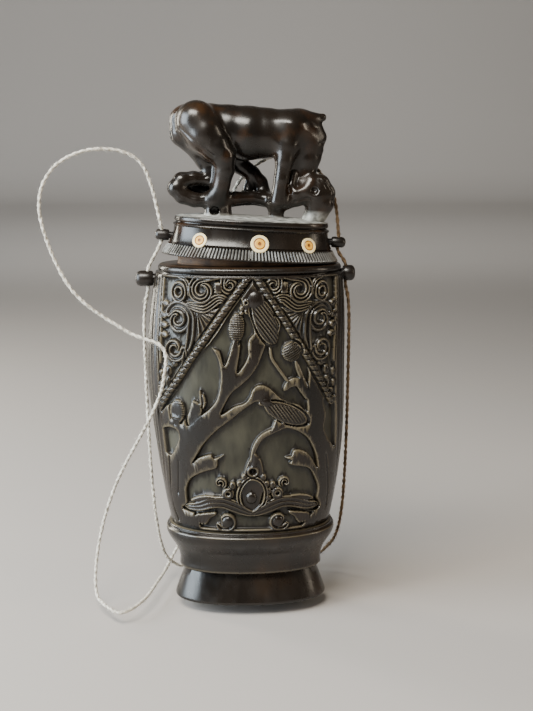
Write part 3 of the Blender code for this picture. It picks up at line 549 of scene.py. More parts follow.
LEFT_SPANDREL = [(-29.0, 101.6), (-1.2, 102.4), (-28.2, 65.4), (-29.4, 70.6), (-30.2, 94.2)]
RIGHT_SPANDREL = [(1.2, 102.4), (28.8, 101.2), (29.8, 93.8), (30.2, 78.8), (28.8, 65.4), (25.8, 65.6),
                  (21.6, 73.6)]
LEFT_OVAL = [(-11.6, 82.6), (-9.2, 79.0), (-8.2, 74.8), (-8.4, 70.6), (-9.6, 66.4), (-12.0, 63.4),
             (-15.2, 61.0), (-18.6, 58.0), (-20.0, 59.8), (-22.2, 65.0), (-27.0, 63.0), (-22.4, 68.4),
(-19.0, 73.6), (-15.4, 78.8)]
LEFT_LEAF = [(-29.4, 55.6), (-26.0, 56.8), (-23.0, 56.4), (-22.2, 54.6), (-23.0, 52.0), (-25.8, 48.0),
             (-28.4, 49.2)]
UPPER_GROUND = [(-3.0, 95.8), (-6.4, 90.8), (-9.0, 86.2), (-11.6, 82.0), (-8.6, 80.6), (-7.2, 76.4),
                (-5.8, 79.2), (-5.0, 82.6), (-3.8, 84.0), (-2.6, 82.6), (-2.8, 79.2), (-3.4, 74.4),
(-1.8, 76.0), (-0.6, 78.2), (0.0, 80.6), (-0.2, 83.4), (1.0, 85.2), (1.2, 86.8), (-0.2, 90.4),
(-1.0, 91.4), (-2.2, 93.8)]
RIGHT_GROUND = [(4.8, 82.2), (3.8, 79.4), (2.6, 76.4), (0.2, 73.0), (-2.6, 70.4), (-5.4, 68.0),
                (-8.6, 62.0), (-4.4, 64.4), (-1.8, 65.2), (0.0, 67.0), (1.0, 69.4), (2.6, 70.6),
(4.8, 70.4), (6.8, 69.0), (9.4, 66.4), (11.8, 65.0), (14.8, 64.2), (17.2, 62.0), (17.4, 65.6),
(17.8, 70.0), (18.2, 73.6), (18.2, 78.0), (15.8, 81.2), (13.2, 84.0), (10.8, 87.0), (8.6, 87.2),
(7.4, 85.0), (6.0, 82.4)]
LEFT_WINDOW = [(-1.2, 64.0), (-5.8, 60.4), (-10.4, 56.8), (-14.2, 52.8), (-16.4, 49.4), (-18.0, 46.6),
               (-16.2, 48.2), (-14.0, 49.2), (-12.2, 49.6), (-11.4, 48.4), (-8.4, 49.4), (-10.2, 48.0),
(-10.6, 45.6), (-14.2, 44.2), (-17.4, 42.6), (-19.4, 40.8), (-20.6, 37.6), (-20.4, 33.4), (-19.4, 30.6)]
RIGHT_WINDOW = [(18.6, 30.0), (20.4, 34.6), (20.8, 37.8), (19.6, 41.0), (17.8, 44.0), (15.2, 45.2),
                (12.4, 45.8), (11.2, 46.4), (11.8, 47.4), (10.0, 48.4), (11.8, 48.8), (12.4, 50.4),
(14.2, 50.6), (16.8, 49.4), (18.8, 46.8), (20.4, 44.0), (20.0, 47.6), (18.8, 51.0), (17.0, 54.0),
(14.2, 56.2), (10.8, 57.4), (7.4, 56.8), (6.0, 56.0), (7.2, 59.4), (5.0, 62.2), (3.8, 64.6), (2.0, 65.8)]
RIGHT_LEAF = [(25.4, 67.0), (23.0, 64.8), (23.8, 60.4), (23.0, 56.6), (25.0, 52.2), (28.2, 49.4),
              (29.0, 54.2), (28.6, 62.2)]
LEFT_ROPE = [(-0.8, 102.0), (-5.4, 95.4), (-9.2, 89.8), (-13.0, 84.0), (-17.2, 78.0), (-21.6, 71.6),
             (-29.0, 62.8)]
RIGHT_ROPE = [(1.2, 102.2), (5.6, 95.4), (9.8, 89.6), (14.0, 83.6), (18.4, 77.4), (23.0, 70.0), (26.5, 64.0)]


def carve_corner(panel):
    """The scrolls, strands, disc and leaves over the left rope, or the right on a mirrored panel."""
    panel.scroll((-14.4, 97.9), 4.0, 1, math.radians(90), 1.0, 3, [(-8.8, 102.3), (-11.6, 102.0)])
    panel.band([(-22.0, 101.6), (-19.6, 100.8), (-18.4, 98.6), (-18.4, 96.4)], 0.7, 2)
    panel.rings((-21.8, 97.2), (2.9, 3.3), 2)
    panel.plateau([(-9.6, 100.2), (-9.6, 97.2)], 1.0)
    for k in range(4):
        panel.band([(-10.6, 97.5 + 0.8 * k), (-8.6, 97.5 + 0.8 * k)], 0.35, 1, 0.15)
    small_tail = [(-3.2, 102.6), (-5.4, 102.6), (-7.8, 102.0)]
    panel.scroll((-6.2, 99.4), 2.5, 1, math.radians(180), 1.0, 2, small_tail)
    panel.band([(-18.6, 93.8), (-15.8, 93.2), (-13.6, 93.0), (-11.8, 94.0), (-10.0, 95.4), (-8.4, 95.6),
                (-6.4, 94.6)], 1.7, 4, taper=0.35)
    long_tail = [(-18.4, 80.0), (-17.6, 83.6), (-17.3, 87.0), (-17.6, 90.6), (-19.8, 93.0), (-22.6, 93.4),
                 (-24.4, 92.2)]
    panel.scroll((-21.6, 89.2), 4.4, -1, math.radians(150), 1.1, 2, long_tail)
    fan_middle = (-15.6, 91.9)
    fan = Relief(panel.u, panel.z)
    fan.sunk([(-16.4, 92.0), (-9.0, 93.0), (-15.8, 83.0)], 1.0, 0.3)
    inside = fan.height < -0.5
    angle = np.arctan2(panel.z[inside] - fan_middle[1], panel.u[inside] - fan_middle[0])
    panel.height[inside] = np.maximum(panel.height[inside], -0.5 + 0.25 * np.cos(angle * 22))
    for place in ((-26.4, 93.6), (-26.9, 90.2), (-26.6, 87.4), (-26.3, 84.6)):
        panel.band([(place[0] - 1.0, place[1] + 0.2), (place[0] + 1.0, place[1] - 0.2)], 0.95, 1)
    panel.band([(-27.8, 101.0), (-27.9, 90.0), (-27.8, 76.0)], 0.4, 1, taper=0.05)
    panel.scroll((-22.6, 80.6), 3.7, -1, 0.0, 1.0, 2, [(-19.4, 76.0), (-18.9, 78.6)])
    beads = [((-24.8, 74.0), (1.3, 1.6)), ((-24.9, 70.6), (1.0, 1.9)), ((-27.6, 73.0), (0.8, 1.3)),
             ((-27.8, 69.6), (0.8, 1.2)), ((-26.6, 67.4), (1.1, 0.9)), ((-22.4, 76.4), (1.1, 1.0))]
    for place, size in beads:
        panel.knob(place, size)


def carve_tree(panel):
    """The bud, cone and small leaves at the left trunk's side."""
    panel.cone((-22.2, 62.2), (2.4, 3.6), -0.1)
    panel.plateau([(-21.0, 55.4), (-21.6, 57.6), (-23.2, 58.8), (-25.4, 58.6), (-26.8, 57.0)], 0.7)
    panel.plateau([(-18.2, 58.2), (-16.8, 61.0), (-16.0, 63.2), (-16.6, 65.4)], 1.9, -0.1)
    panel.band([(-16.8, 65.6), (-14.6, 64.4), (-14.2, 66.4), (-14.6, 68.8)], 0.5)
    panel.band([(-13.8, 63.6), (-13.2, 65.4), (-13.6, 67.8)], 0.4)


def carve_jewel(panel):
    """The left half of the jewel's curls, its winged band and the scrolls at the bottom."""
    panel.plateau([(-20.0, 32.0), (-16.4, 33.0), (-12.0, 34.4), (-8.0, 34.4), (-4.0, 32.6), (0.0, 30.8)],
                  1.9)
    panel.band([(-20.4, 32.4), (-16.4, 32.8), (-12.6, 34.2), (-9.0, 34.5), (-5.6, 33.4), (-2.6, 32.0),
                (0.2, 31.0)], 1.9, 3, 0.25, 0.8, 0.3)
    panel.band([(-18.8, 34.6), (-14.8, 35.6), (-11.6, 35.6), (-9.4, 35.2)], 0.9, 1, 0.1)
    panel.knob((-7.4, 37.4), (1.9, 1.9), 0.3, 1.0, 0.3)
    panel.scroll((-9.6, 40.8), 1.8, 1, math.radians(-60), 0.9, 2, (), 0.7, 0.2)
    panel.knob((-6.0, 40.0), (1.0, 1.3), 0.1)
    panel.scroll((-8.0, 28.4), 3.3, 1, math.radians(200), 0.9, 2, (), 1.2, 0.1)
    panel.knob((-7.6, 28.2), (1.9, 1.9), 0.45, 1.2)
    for k in range(4):
        panel.band([(-11.2 - 1.5 * k, 31.0 - 0.3 * k), (-13.4 - 1.3 * k, 29.8 - 0.2 * k),
                    (-14.6 - 0.9 * k, 27.2)], 0.75)


def carve_centre(panel):
    """The jewel's own drop with its bead, knobs and flame."""
    panel.plateau([(-0.3, 31.6), (-0.3, 36.6), (0.2, 41.0), (0.9, 48.6)], 4.4, -0.45, 0.5, 0.9)
    panel.band([(-0.4, 31.2), (-3.4, 33.6), (-4.2, 37.0), (-3.0, 40.4), (-0.6, 42.4), (2.4, 41.4),
                (3.9, 38.4), (3.4, 34.4), (0.2, 31.2)], 0.9, 2, 0.2, 0.7, 0.1)
    knobs = [(-3.9, 40.6), (-2.4, 42.8), (3.2, 42.6), (4.1, 40.4), (4.7, 38.2), (4.6, 36.0), (4.2, 33.8)]
    for place in knobs:
        panel.knob(place, (0.95, 1.1), 0.2)
    panel.knob((-0.4, 36.0), (1.7, 1.9), 0.45, 1.2)
    panel.rings((0.1, 44.4), (2.1, 2.0), 1, 0.2, 0.6, 0.35)
    panel.band([(0.2, 45.8), (0.8, 48.0), (0.6, 50.0)], 1.1, 1, 0.1, 0.8, 0.6)


def carve_birds(panel):
    """The two birds, the upper cones and the branches that carry them."""
    panel.cone((-3.8, 87.4), (2.3, 4.2))
    panel.cone((12.6, 80.2), (2.9, 3.0), 0.5)
    panel.band([(-4.0, 84.2), (-4.0, 83.0), (-4.0, 81.0)], 0.8, 1, 0.05)
    panel.plateau([(0.8, 78.0), (0.4, 81.2), (0.6, 83.8), (2.0, 85.0), (3.8, 84.2), (4.2, 82.6)], 0.75,
                  0.05)
    panel.plateau([(1.2, 77.4), (2.4, 78.8), (3.6, 80.8)], 0.7)
    panel.plateau([(6.0, 82.4), (6.6, 78.6), (8.4, 75.8), (10.2, 73.2), (11.8, 71.0)], 0.45, -0.2, 0.3, 0.1)
    panel.plateau([(10.4, 69.0), (12.2, 70.8), (14.6, 71.0), (16.4, 68.6), (17.6, 65.8)], 1.3, -0.1)
    panel.plateau([(13.8, 77.4), (15.0, 74.4), (16.8, 70.0), (18.2, 65.6)], 0.75, -0.1, 0.4, 0.2)
    panel.plateau([(-0.4, 47.4), (0.6, 51.2), (2.6, 54.6), (5.4, 56.4), (8.4, 57.4), (10.4, 58.4)], 0.75,
                  -0.1, 0.4, 0.3)
    panel.feathered((4.4, 89.2), (3.1, 7.4), 0.42, 0.85, 0.25)
    panel.band([(7.0, 90.4), (8.2, 88.2), (7.8, 86.2), (6.6, 84.4)], 0.7, 2, 0.2)
    panel.knob((1.2, 95.4), (2.8, 2.8), 0.6, 1.4)
    panel.knob((-1.4, 94.6), (1.1, 1.2), 0.45, 0.8, 0.35)
    panel.knob((-2.5, 93.0), (0.8, 0.9), 0.2)
    panel.knob((-2.6, 91.6), (0.7, 0.7), 0.1)
    panel.band([(-1.6, 92.4), (-1.0, 91.4)], 0.45, 1, 0.2)
    panel.plateau([(4.6, 66.4), (7.0, 64.8), (10.0, 63.6), (14.0, 62.0), (17.4, 58.4)], 1.6, -0.25)
    panel.feathered((10.6, 62.0), (6.9, 2.8), -0.42, 1.5, 1.6, 0.2)
    panel.knob((4.8, 65.6), (1.7, 1.5), 0.35, 0.8)
    panel.band([(3.6, 64.8), (2.6, 65.4)], 0.4, 1, 0.2)
    for leg in ([(7.6, 60.2), (6.8, 58.0), (5.8, 56.4)], [(9.8, 60.0), (9.4, 58.4), (8.4, 57.0)]):
        panel.band(leg, 0.4, 1, 0.1)


def front_relief(u, z):
    """The front panel's relief."""
    panel = Relief(u, z)
    for outline in (LEFT_SPANDREL, RIGHT_SPANDREL):
        panel.sunk(outline, SPANDREL_DEPTH)
    for outline in (LEFT_OVAL, LEFT_LEAF, UPPER_GROUND, RIGHT_GROUND, LEFT_WINDOW + RIGHT_WINDOW, RIGHT_LEAF):
        panel.sunk(smooth_line(outline + outline[:1], 0.8)[:-1], GROUND_DEPTH)
    panel.sunk([(-18.6, 31.0), (-15.8, 26.0), (15.4, 26.0), (19.6, 30.0)], 1.2)
    for side in (1, -1):
        half_panel = Relief(side * u, z, panel.height)
        carve_corner(half_panel)
        carve_jewel(half_panel)
    carve_tree(panel)
    carve_centre(panel)
    panel.rope(LEFT_ROPE)
    panel.rope(RIGHT_ROPE, shear=-0.5)
    carve_birds(panel)
    panel.cut_line([(-26.6, 47.8), (-26.8, 41.4), (-27.2, 35.6), (-26.2, 30.8), (-24.2, 26.6)])
    panel.cut_line([(-22.8, 47.0), (-23.2, 41.0), (-23.6, 36.0)], 0.35, 0.25)
    panel.cut_line([(23.6, 48.0), (24.6, 41.4), (25.2, 35.6), (24.8, 30.8)])
    return panel.height


def back_relief(u, z):
    """The plainer back: the front's left half twice, without birds."""
    panel = Relief(-np.abs(u), z)
    panel.sunk(LEFT_SPANDREL, SPANDREL_DEPTH)
    for outline in (LEFT_OVAL, LEFT_LEAF, LEFT_WINDOW + [(4.0, 30.0), (4.0, 62.0)]):
        panel.sunk(smooth_line(outline + outline[:1], 0.8)[:-1], GROUND_DEPTH)
    carve_corner(panel)
    carve_tree(panel)
    carve_jewel(panel)
    carve_centre(panel)
    panel.rope(LEFT_ROPE)
    return panel.height


def body_rows():
    """Height, half sizes and lean of each ring, from the socket up the inside and down the outside."""
    mouth = inset(SHOULDER_HALF, COLLAR_INSET + COLLAR_WALL)
    collar = inset(SHOULDER_HALF, COLLAR_INSET)
    bead = inset(SHOULDER_HALF, 0.5)
    rows = [(SKIRT_BOTTOM, SOCKET_HALF, 0.0), (SOCKET_TOP, SOCKET_HALF, 0.0)]
    for height in np.linspace(28.0, 92.0, 9):
        rows.append((height, inset(body_half(height), WALL), body_lean(height)))
    top = RIM_TOP + COLLAR_HEIGHT
    rows += [(DRUM_TOP - 0.5, mouth, 0.0), (top - 0.25, mouth, 0.0), (top, inset(mouth, -0.3), 0.0),
             (top, inset(collar, 0.3), 0.0), (top - 0.3, collar, 0.0), (RIM_TOP + 1.2, collar, 0.0),
             (RIM_TOP + 0.15, inset(collar, -0.1), 0.0), (RIM_TOP, inset(collar, -0.4), 0.0)]
    for share in np.linspace(0.0, 1.0, 9):
        angle = share * math.pi
        bulge = 0.9 * (1 - math.sin(angle))
        rows.append((RIM_TOP - 1.1 * (1 - math.cos(angle)) * 0.95, inset(bead, bulge), 0.0))
    rows.append((DRUM_TOP + 0.05, inset(bead, 1.2), 0.0))
    return rows


def ledge_rows():
    """Rings of the rounded ledge and the skirt under the drum, from the top down."""
    spread = [(1.0, 0.38), (0.97, 0.66), (0.945, 0.80), (0.93, 0.83), (0.91, 0.82), (0.89, 0.90),
              (0.86, 0.985), (0.83, 1.0), (0.77, 0.99), (0.68, 0.86), (0.56, 0.60), (0.42, 0.30),
    (0.28, 0.10), (0.16, 0.03), (0.08, 0.05), (0.03, 0.06)]
    rows = []
    for share, ledge in smooth_line(spread, 0.012):
        half = tuple(skirt + ledge * out for skirt, out in zip(SKIRT_HALF, LEDGE_SPREAD))
        rows.append((SKIRT_BOTTOM + share * (DRUM_BOTTOM - SKIRT_BOTTOM), half, 0.0))
    rows.append((SKIRT_BOTTOM, inset(rows[-1][1], 0.4), 0.0))
    return rows


def blurred(values, reach):
    """Each value's mean over a square of its neighbours."""
    for axis in (0, 1):
        values = sum(np.roll(values, k, axis=axis) for k in range(-reach, reach + 1)) / (2 * reach + 1)
    return values


def wrapped(rows, columns):
    """Faces of a grid of rows and columns that closes on itself both ways."""
    row, column = np.meshgrid(np.arange(rows) * columns, np.arange(columns), indexing="ij")
    above, beside = np.roll(row, -1, axis=0), np.roll(column, -1, axis=1)
    return np.stack([row + column, above + column, above + beside, row + beside], axis=-1).reshape(-1, 4)


full_length = oval(BELLY_HALF, np.zeros(1))[2]
front_share = CARVED_REACH / full_length
fractions = np.concatenate([
    np.arange(0.0, 0.5 - front_share, SIDE_STEP / full_length),
    np.arange(0.5 - front_share, 0.5 + front_share, FRONT_STEP / full_length),
    np.arange(0.5 + front_share, 1.0, SIDE_STEP / full_length),
])
drum_heights = np.arange(DRUM_TOP, DRUM_BOTTOM, -FRONT_STEP)
plain_above, plain_below = body_rows(), ledge_rows()
rings, ground, painted_relief_light = [], [], []


def plain_rings(rows, highlight_lines=()):
    """Adds uncarved rings, with a painted highlight where they lie along the given edge lines."""
    for height, half, lean in rows:
        x, y, _ = oval(half, fractions)
        rings.append(np.column_stack([x + lean, y, np.full(len(x), height)]))
        ground.append(np.zeros(len(x)))
        away = min([abs(height - line_height) for line_height in highlight_lines] + [HIGHLIGHT_LINE_REACH])
        painted_relief_light.append(np.full(len(x), 0.5 + HIGHLIGHT_LINE_SHARE * (1 - away / HIGHLIGHT_LINE_REACH)))


plain_rings(plain_above)
drum_x, drum_y, drum_u, drum_back = [], [], [], []
for height in drum_heights:
    x, y, length = oval(body_half(height), fractions)
    drum_x.append(x)
    drum_y.append(y)
    drum_u.append((fractions - 0.5) * length)
    drum_back.append(np.where(fractions > 0.5, (fractions - 1.0) * length, fractions * length))
drum_x, drum_y, drum_u, drum_back = (np.array(part) for part in (drum_x, drum_y, drum_u, drum_back))
drum_z = np.repeat(drum_heights[:, None], len(fractions), axis=1)


def framed(u, z, relief):
    """Relief inside the panel's frame, fading out at its edges."""
    edge = PANEL_HALF - 0.0022 * (z - 62.0) ** 2 * (z < 62.0)
    inside = np.minimum(edge - np.abs(u), PANEL_TOP - z)
    lined = np.clip((z - 34.0) / 12.0, 0, 1) * (z < 100.5)
    lines = SIDE_LINE_DEPTH * (np.cos(u / SIDE_LINE_PITCH * 2 * math.pi) - 1) * lined
    return np.where(inside > 0, relief * np.clip(inside / 0.5, 0, 1), lines * np.clip(-inside, 0, 1))


cut = np.zeros(drum_x.shape)
faces_front = drum_y < 0
cut[faces_front] = framed(drum_u[faces_front], drum_z[faces_front],
                          front_relief(drum_u[faces_front], drum_z[faces_front]))
faces_back = ~faces_front
cut[faces_back] = framed(drum_back[faces_back], drum_z[faces_back],
                         back_relief(drum_back[faces_back], drum_z[faces_back]))
tangent_x = np.roll(drum_x, -1, axis=1) - np.roll(drum_x, 1, axis=1)
tangent_y = np.roll(drum_y, -1, axis=1) - np.roll(drum_y, 1, axis=1)
size = np.hypot(tangent_x, tangent_y)
outward_x, outward_y = tangent_y / size, -tangent_x / size
lean = np.array([body_lean(height) for height in drum_heights])[:, None]
drum_points = np.stack([drum_x + outward_x * cut + lean, drum_y + outward_y * cut, drum_z], axis=-1)
rings += list(drum_points)
ground += list(np.clip(-cut / GROUND_DEPTH, 0, 1))
# Painted light value: above 0.5 where the relief stands higher than its surroundings (painted highlight),
# below 0.5 in grooves (painted shade).
painted_relief_light += list(np.clip(0.5 + (cut - blurred(cut, 2)) / 0.7, 0, 1))
plain_rings(plain_below, LEDGE_LINES)
body_faces = wrapped(len(rings), len(fractions))
body = mesh_object("flask_body", np.vstack(rings), body_faces.tolist())


def remember(piece, name, values):
    """Keeps a value from 0 to 1 for each point in a UV layer, which thinning carries along."""
    layer = piece.data.uv_layers.new(name=name)
    corner = np.zeros(len(piece.data.loops), np.int32)
    piece.data.loops.foreach_get("vertex_index", corner)
    pairs = np.column_stack([values[corner], np.zeros(len(corner))])
    layer.data.foreach_set("uv", pairs.ravel())


def keep_values(mesh, name, values):
    """Keeps a value for each of a mesh's points, for its material to read."""
    kept = mesh.attributes.new(name, "FLOAT", "POINT")
    kept.data.foreach_set("value", values)


def thinned(piece, triangles):
    """Thins a mesh to about a number of triangles, then turns its UV layers into point values."""
    count = sum(len(face.vertices) - 2 for face in piece.data.polygons)
    if count > triangles:
        step = piece.modifiers.new("thin", "DECIMATE")
        step.ratio = triangles / count
        graph = bpy.context.evaluated_depsgraph_get()
        piece.data = bpy.data.meshes.new_from_object(piece.evaluated_get(graph), depsgraph=graph)
        piece.modifiers.clear()
    corner = np.zeros(len(piece.data.loops), np.int32)
    piece.data.loops.foreach_get("vertex_index", corner)
    for name in [layer.name for layer in piece.data.uv_layers]:
        pairs = np.zeros(2 * len(corner))
        piece.data.uv_layers[name].data.foreach_get("uv", pairs)
        values = np.zeros(len(piece.data.vertices))
        values[corner] = pairs[::2]
        piece.data.uv_layers.remove(piece.data.uv_layers[name])
        keep_values(piece.data, name, values)
    piece.data.shade_smooth()


remember(body, "ground", np.concatenate(ground))
remember(body, "painted_relief_light", np.concatenate(painted_relief_light))
thinned(body, BODY_TRIANGLES)


def point_value(tree, name):
    """The value that a mesh keeps for each of its points."""
    made = tree.nodes.new("ShaderNodeAttribute")
    made.attribute_name = name
    return made.outputs["Fac"]


HORN_TINTS = [(0.35, (0.004, 0.0035, 0.003)), (0.6, (0.011, 0.0075, 0.005)), (0.8, (0.028, 0.015, 0.007))]


def horn_material(name, roughness):
    """Polished black horn: near black, brown in places, with faint streaks and rubbed spots."""
    made, tree, shader = node_material(name, roughness, 1.54)
    base = ramp(tree, noise(tree, 60, 4, (1, 1, 0.35)), HORN_TINTS)
    tree.links.new(base, shader.inputs["Base Color"])
    shader.inputs["Specular IOR Level"].default_value = 0.4
    rubbed = ramp(tree, noise(tree, 220, 5, (1, 1, 0.5)), [(0.3, roughness - 0.08), (0.75, roughness + 0.12)])
    tree.links.new(rubbed, shader.inputs["Roughness"])
    bumped(tree, shader, noise(tree, 900, 4, (1, 1, 0.12)), 0.05, 0.35)
    return made, tree, shader, base, rubbed


DUST_TINTS = [(0.3, (0.013, 0.012, 0.007)), (0.7, (0.044, 0.041, 0.027))]
PAINTED_GROOVE_SHADE = (0.004, 0.0025, 0.0015)
PAINTED_EDGE_HIGHLIGHT = (0.14, 0.115, 0.072)
COLLAR_TINTS = [(0.3, (0.035, 0.014, 0.004)), (0.7, (0.13, 0.062, 0.022))]
GROUND_ROUGHNESS = (0.44, 0.44, 0.44)
COLLAR_ROUGHNESS = (0.65, 0.65, 0.65)
horn, tree, shader, base, rubbed = horn_material("carved horn", 0.26)
sunk_share = ramp(tree, point_value(tree, "ground"), [(0.3, 0.0), (0.95, 1.0)])
dust = ramp(tree, noise(tree, 260, 6, (1, 1, 0.4), (0, math.radians(28), 0)), DUST_TINTS)
painted_relief_value = point_value(tree, "painted_relief_light")
colour = mixed(tree, sunk_share, base, dust)
# Painted shade: near black in narrow grooves, where the relief lies below its surroundings.
colour = mixed(tree, ramp(tree, painted_relief_value, [(0.2, 0.95), (0.46, 0.0)]), colour, PAINTED_GROOVE_SHADE)
# Painted highlight: pale olive along the relief's crests and edges.
colour = mixed(tree, ramp(tree, painted_relief_value, [(0.57, 0.0), (0.9, 0.75)]), colour, PAINTED_EDGE_HIGHLIGHT)
collar = ramp(tree, along_axis(tree, "Z", RIM_TOP - 0.1, RIM_TOP + 0.3), [(0.0, 0.0), (1.0, 1.0)])
colour = mixed(tree, collar, colour, ramp(tree, noise(tree, 300), COLLAR_TINTS))
tree.links.new(colour, shader.inputs["Base Color"])
matt = mixed(tree, sunk_share, rubbed, GROUND_ROUGHNESS)
tree.links.new(mixed(tree, collar, matt, COLLAR_ROUGHNESS), shader.inputs["Roughness"])
bumped(tree, shader, noise(tree, 420, 6, (3, 3, 0.5), (0, math.radians(24), 0)), 0.08, 0.5)
body.data.materials.append(horn)
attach(body, "root")
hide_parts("body")


# Foot: a flared plug of the same horn, turned and set in the body's lower end.
FOOT_HALF = (23.6, 12.4)
FOOT_NECK_HALF = (20.6, 9.9)
PLUG_HALF = (17.3, 6.8)
PLUG_TOP = 21.7
FOOT_TOP = 9.6
foot_shape = [(0.0, inset(FOOT_HALF, 0.6)), (0.1, inset(FOOT_HALF, 0.3)), (0.35, inset(FOOT_HALF, 0.06)),
              (0.7, FOOT_HALF), (1.1, inset(FOOT_HALF, 0.1)), (3.0, inset(FOOT_HALF, 0.75)),
              (5.0, inset(FOOT_HALF, 1.45)), (7.0, inset(FOOT_HALF, 2.2)), (9.1, inset(FOOT_HALF, 3.0)),
              (9.4, FOOT_NECK_HALF), (FOOT_TOP, inset(FOOT_NECK_HALF, 0.3))]
FOOT_SIDES = 480


def raised_rings(rings):
    """A closed shape whose outline is extruded from ring to ring, with flat ends."""
    shape = bmesh.new()
    ring = [shape.verts.new(point) for point in rings[0]]
    shape.faces.new(ring)
    for points in rings[1:]:
        above = [shape.verts.new(point) for point in points]
        for k in range(len(ring)):
            shape.faces.new((ring[k - 1], ring[k], above[k], above[k - 1]))
        ring = above
    shape.faces.new(ring)
    return shape


foot_rings = []
foot_shape += [(FOOT_TOP, PLUG_HALF), (PLUG_TOP - 0.3, PLUG_HALF), (PLUG_TOP, inset(PLUG_HALF, 0.3))]
for height, half in foot_shape:
    x, y, _ = oval(half, np.arange(FOOT_SIDES) / FOOT_SIDES)
    foot_rings.append(np.column_stack([x, y, np.full(FOOT_SIDES, height)]))
foot = finished("foot_plug", raised_rings(foot_rings))
foot.data.set_sharp_from_angle(angle=math.radians(50))
foot_horn = horn_material("foot horn", 0.26)[0]
foot.data.materials.append(foot_horn)
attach(foot, "root")
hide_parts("foot")


# Lid: a cap with a ribbed lower edge, a hollowed side and a low mound, cut from one block of horn
# with the monkey that stands on its bent branch. It sits tilted on the collar, not pressed home.
LID_HALF = (26.4, 16.0)
LID_HOLLOW_HALF = (22.3, 11.8)
LID_HOLLOW = 7.6
LID_TILT = math.radians(3.2)
LID_SEAT = (26.4, 0.0, 104.5)
RIB_BAND = 3.4
RIB_PITCH = 1.0
RIB_DEPTH = 0.6
RIB_WEAR = 0.52
CAVETTO_TOP = 8.4
PLATE_TOP = 11.5
MOUND = 0.9
MOUND_REACH = 11.0
LID_COLUMNS = 700


def on_lid(points):
    """Places in the lid's own frame, turned and set down on the tilted lid."""
    points = np.asarray(points, float)
    x, y, height = points[:, 0] - LID_SEAT[0], points[:, 1], points[:, 2]
    c, s = math.cos(LID_TILT), math.sin(LID_TILT)
    return np.column_stack([LID_SEAT[0] + x * c + height * s, y, LID_SEAT[2] + height * c - x * s])


def lid_half(height):
    """Half sizes of the lid's hollowed side at a height over its lower edge."""
    wide, small = inset(LID_HALF, 2.0), inset(LID_HALF, 3.5)
    share = (height - RIB_BAND) / (CAVETTO_TOP - RIB_BAND)
    return tuple(w - (w - n) * (1 - (1 - share) ** 2) for w, n in zip(wide, small))


edge = lid_half(CAVETTO_TOP)
plate = inset(edge, 0.5)
lid_rows = [(LID_HOLLOW, (0.5, 0.3), 0), (LID_HOLLOW, inset(LID_HOLLOW_HALF, 2.3), 0),
            (0.56 * LID_HOLLOW, inset(LID_HOLLOW_HALF, 0.4), 0), (0.1, LID_HOLLOW_HALF, 0),
(0.0, inset(LID_HOLLOW_HALF, -0.2), 0), (0.0, inset(LID_HALF, 0.5), 0), (0.12, inset(LID_HALF, 0.15), 0),
(0.4, inset(LID_HALF, 0.05), 0)]
for share in np.linspace(0.0, 1.0, 7):
    lid_rows.append((0.5 + share * 2.6, inset(LID_HALF, 0.1 + 1.6 * share), 1))
lid_rows += [(3.25, inset(LID_HALF, 1.75), 0), (RIB_BAND, inset(LID_HALF, 2.15), 0),
             (RIB_BAND + 0.15, inset(LID_HALF, 2.4), 0), (RIB_BAND + 0.4, inset(LID_HALF, 2.2), 0)]
for height in np.linspace(RIB_BAND + 0.6, CAVETTO_TOP, 12):
    lid_rows.append((height, lid_half(height), 0))
for step, out in ((0.2, -0.25), (0.5, -0.4), (0.8, -0.25), (1.0, 0.2), (1.15, 0.6), (1.3, 0.6),
                  (1.45, 0.15), (1.8, -0.05), (2.4, 0.05), (2.8, 0.15), (3.0, 0.5), (3.1, 1.2)):
    lid_rows.append((CAVETTO_TOP + step, inset(edge, out), 0))
for share in np.linspace(0.1, 1.0, 7):
    lid_rows.append((PLATE_TOP + MOUND * math.sin(share * math.pi / 2), inset(plate,
                                                                              0.8 + MOUND_REACH * share),
    0))
lid_fractions = np.arange(LID_COLUMNS) / LID_COLUMNS
lid_length = oval(LID_HALF, np.zeros(1))[2]
ribs = round(lid_length / RIB_PITCH)
cap_points, rubbed_ribs = [], []
for height, half, ribbed in lid_rows:
    x, y, _ = oval(half, lid_fractions)
    pull = np.full(LID_COLUMNS, RIB_DEPTH)
    if ribbed:
        wave = 0.5 + 0.5 * np.cos(lid_fractions * ribs * 2 * math.pi)
        pull = RIB_DEPTH * np.clip(1.6 * (1 - wave ** 0.5) - 0.25, 0, 1)
        x, y = x * (1 - pull / half[0]), y * (1 - pull / half[1])
    cap_points.append(np.column_stack([x, y, np.full(len(x), height)]))
    rubbed_ribs.append(1 - pull / RIB_DEPTH)
cap = finished("carved_lid", raised_rings(cap_points), 1.0)

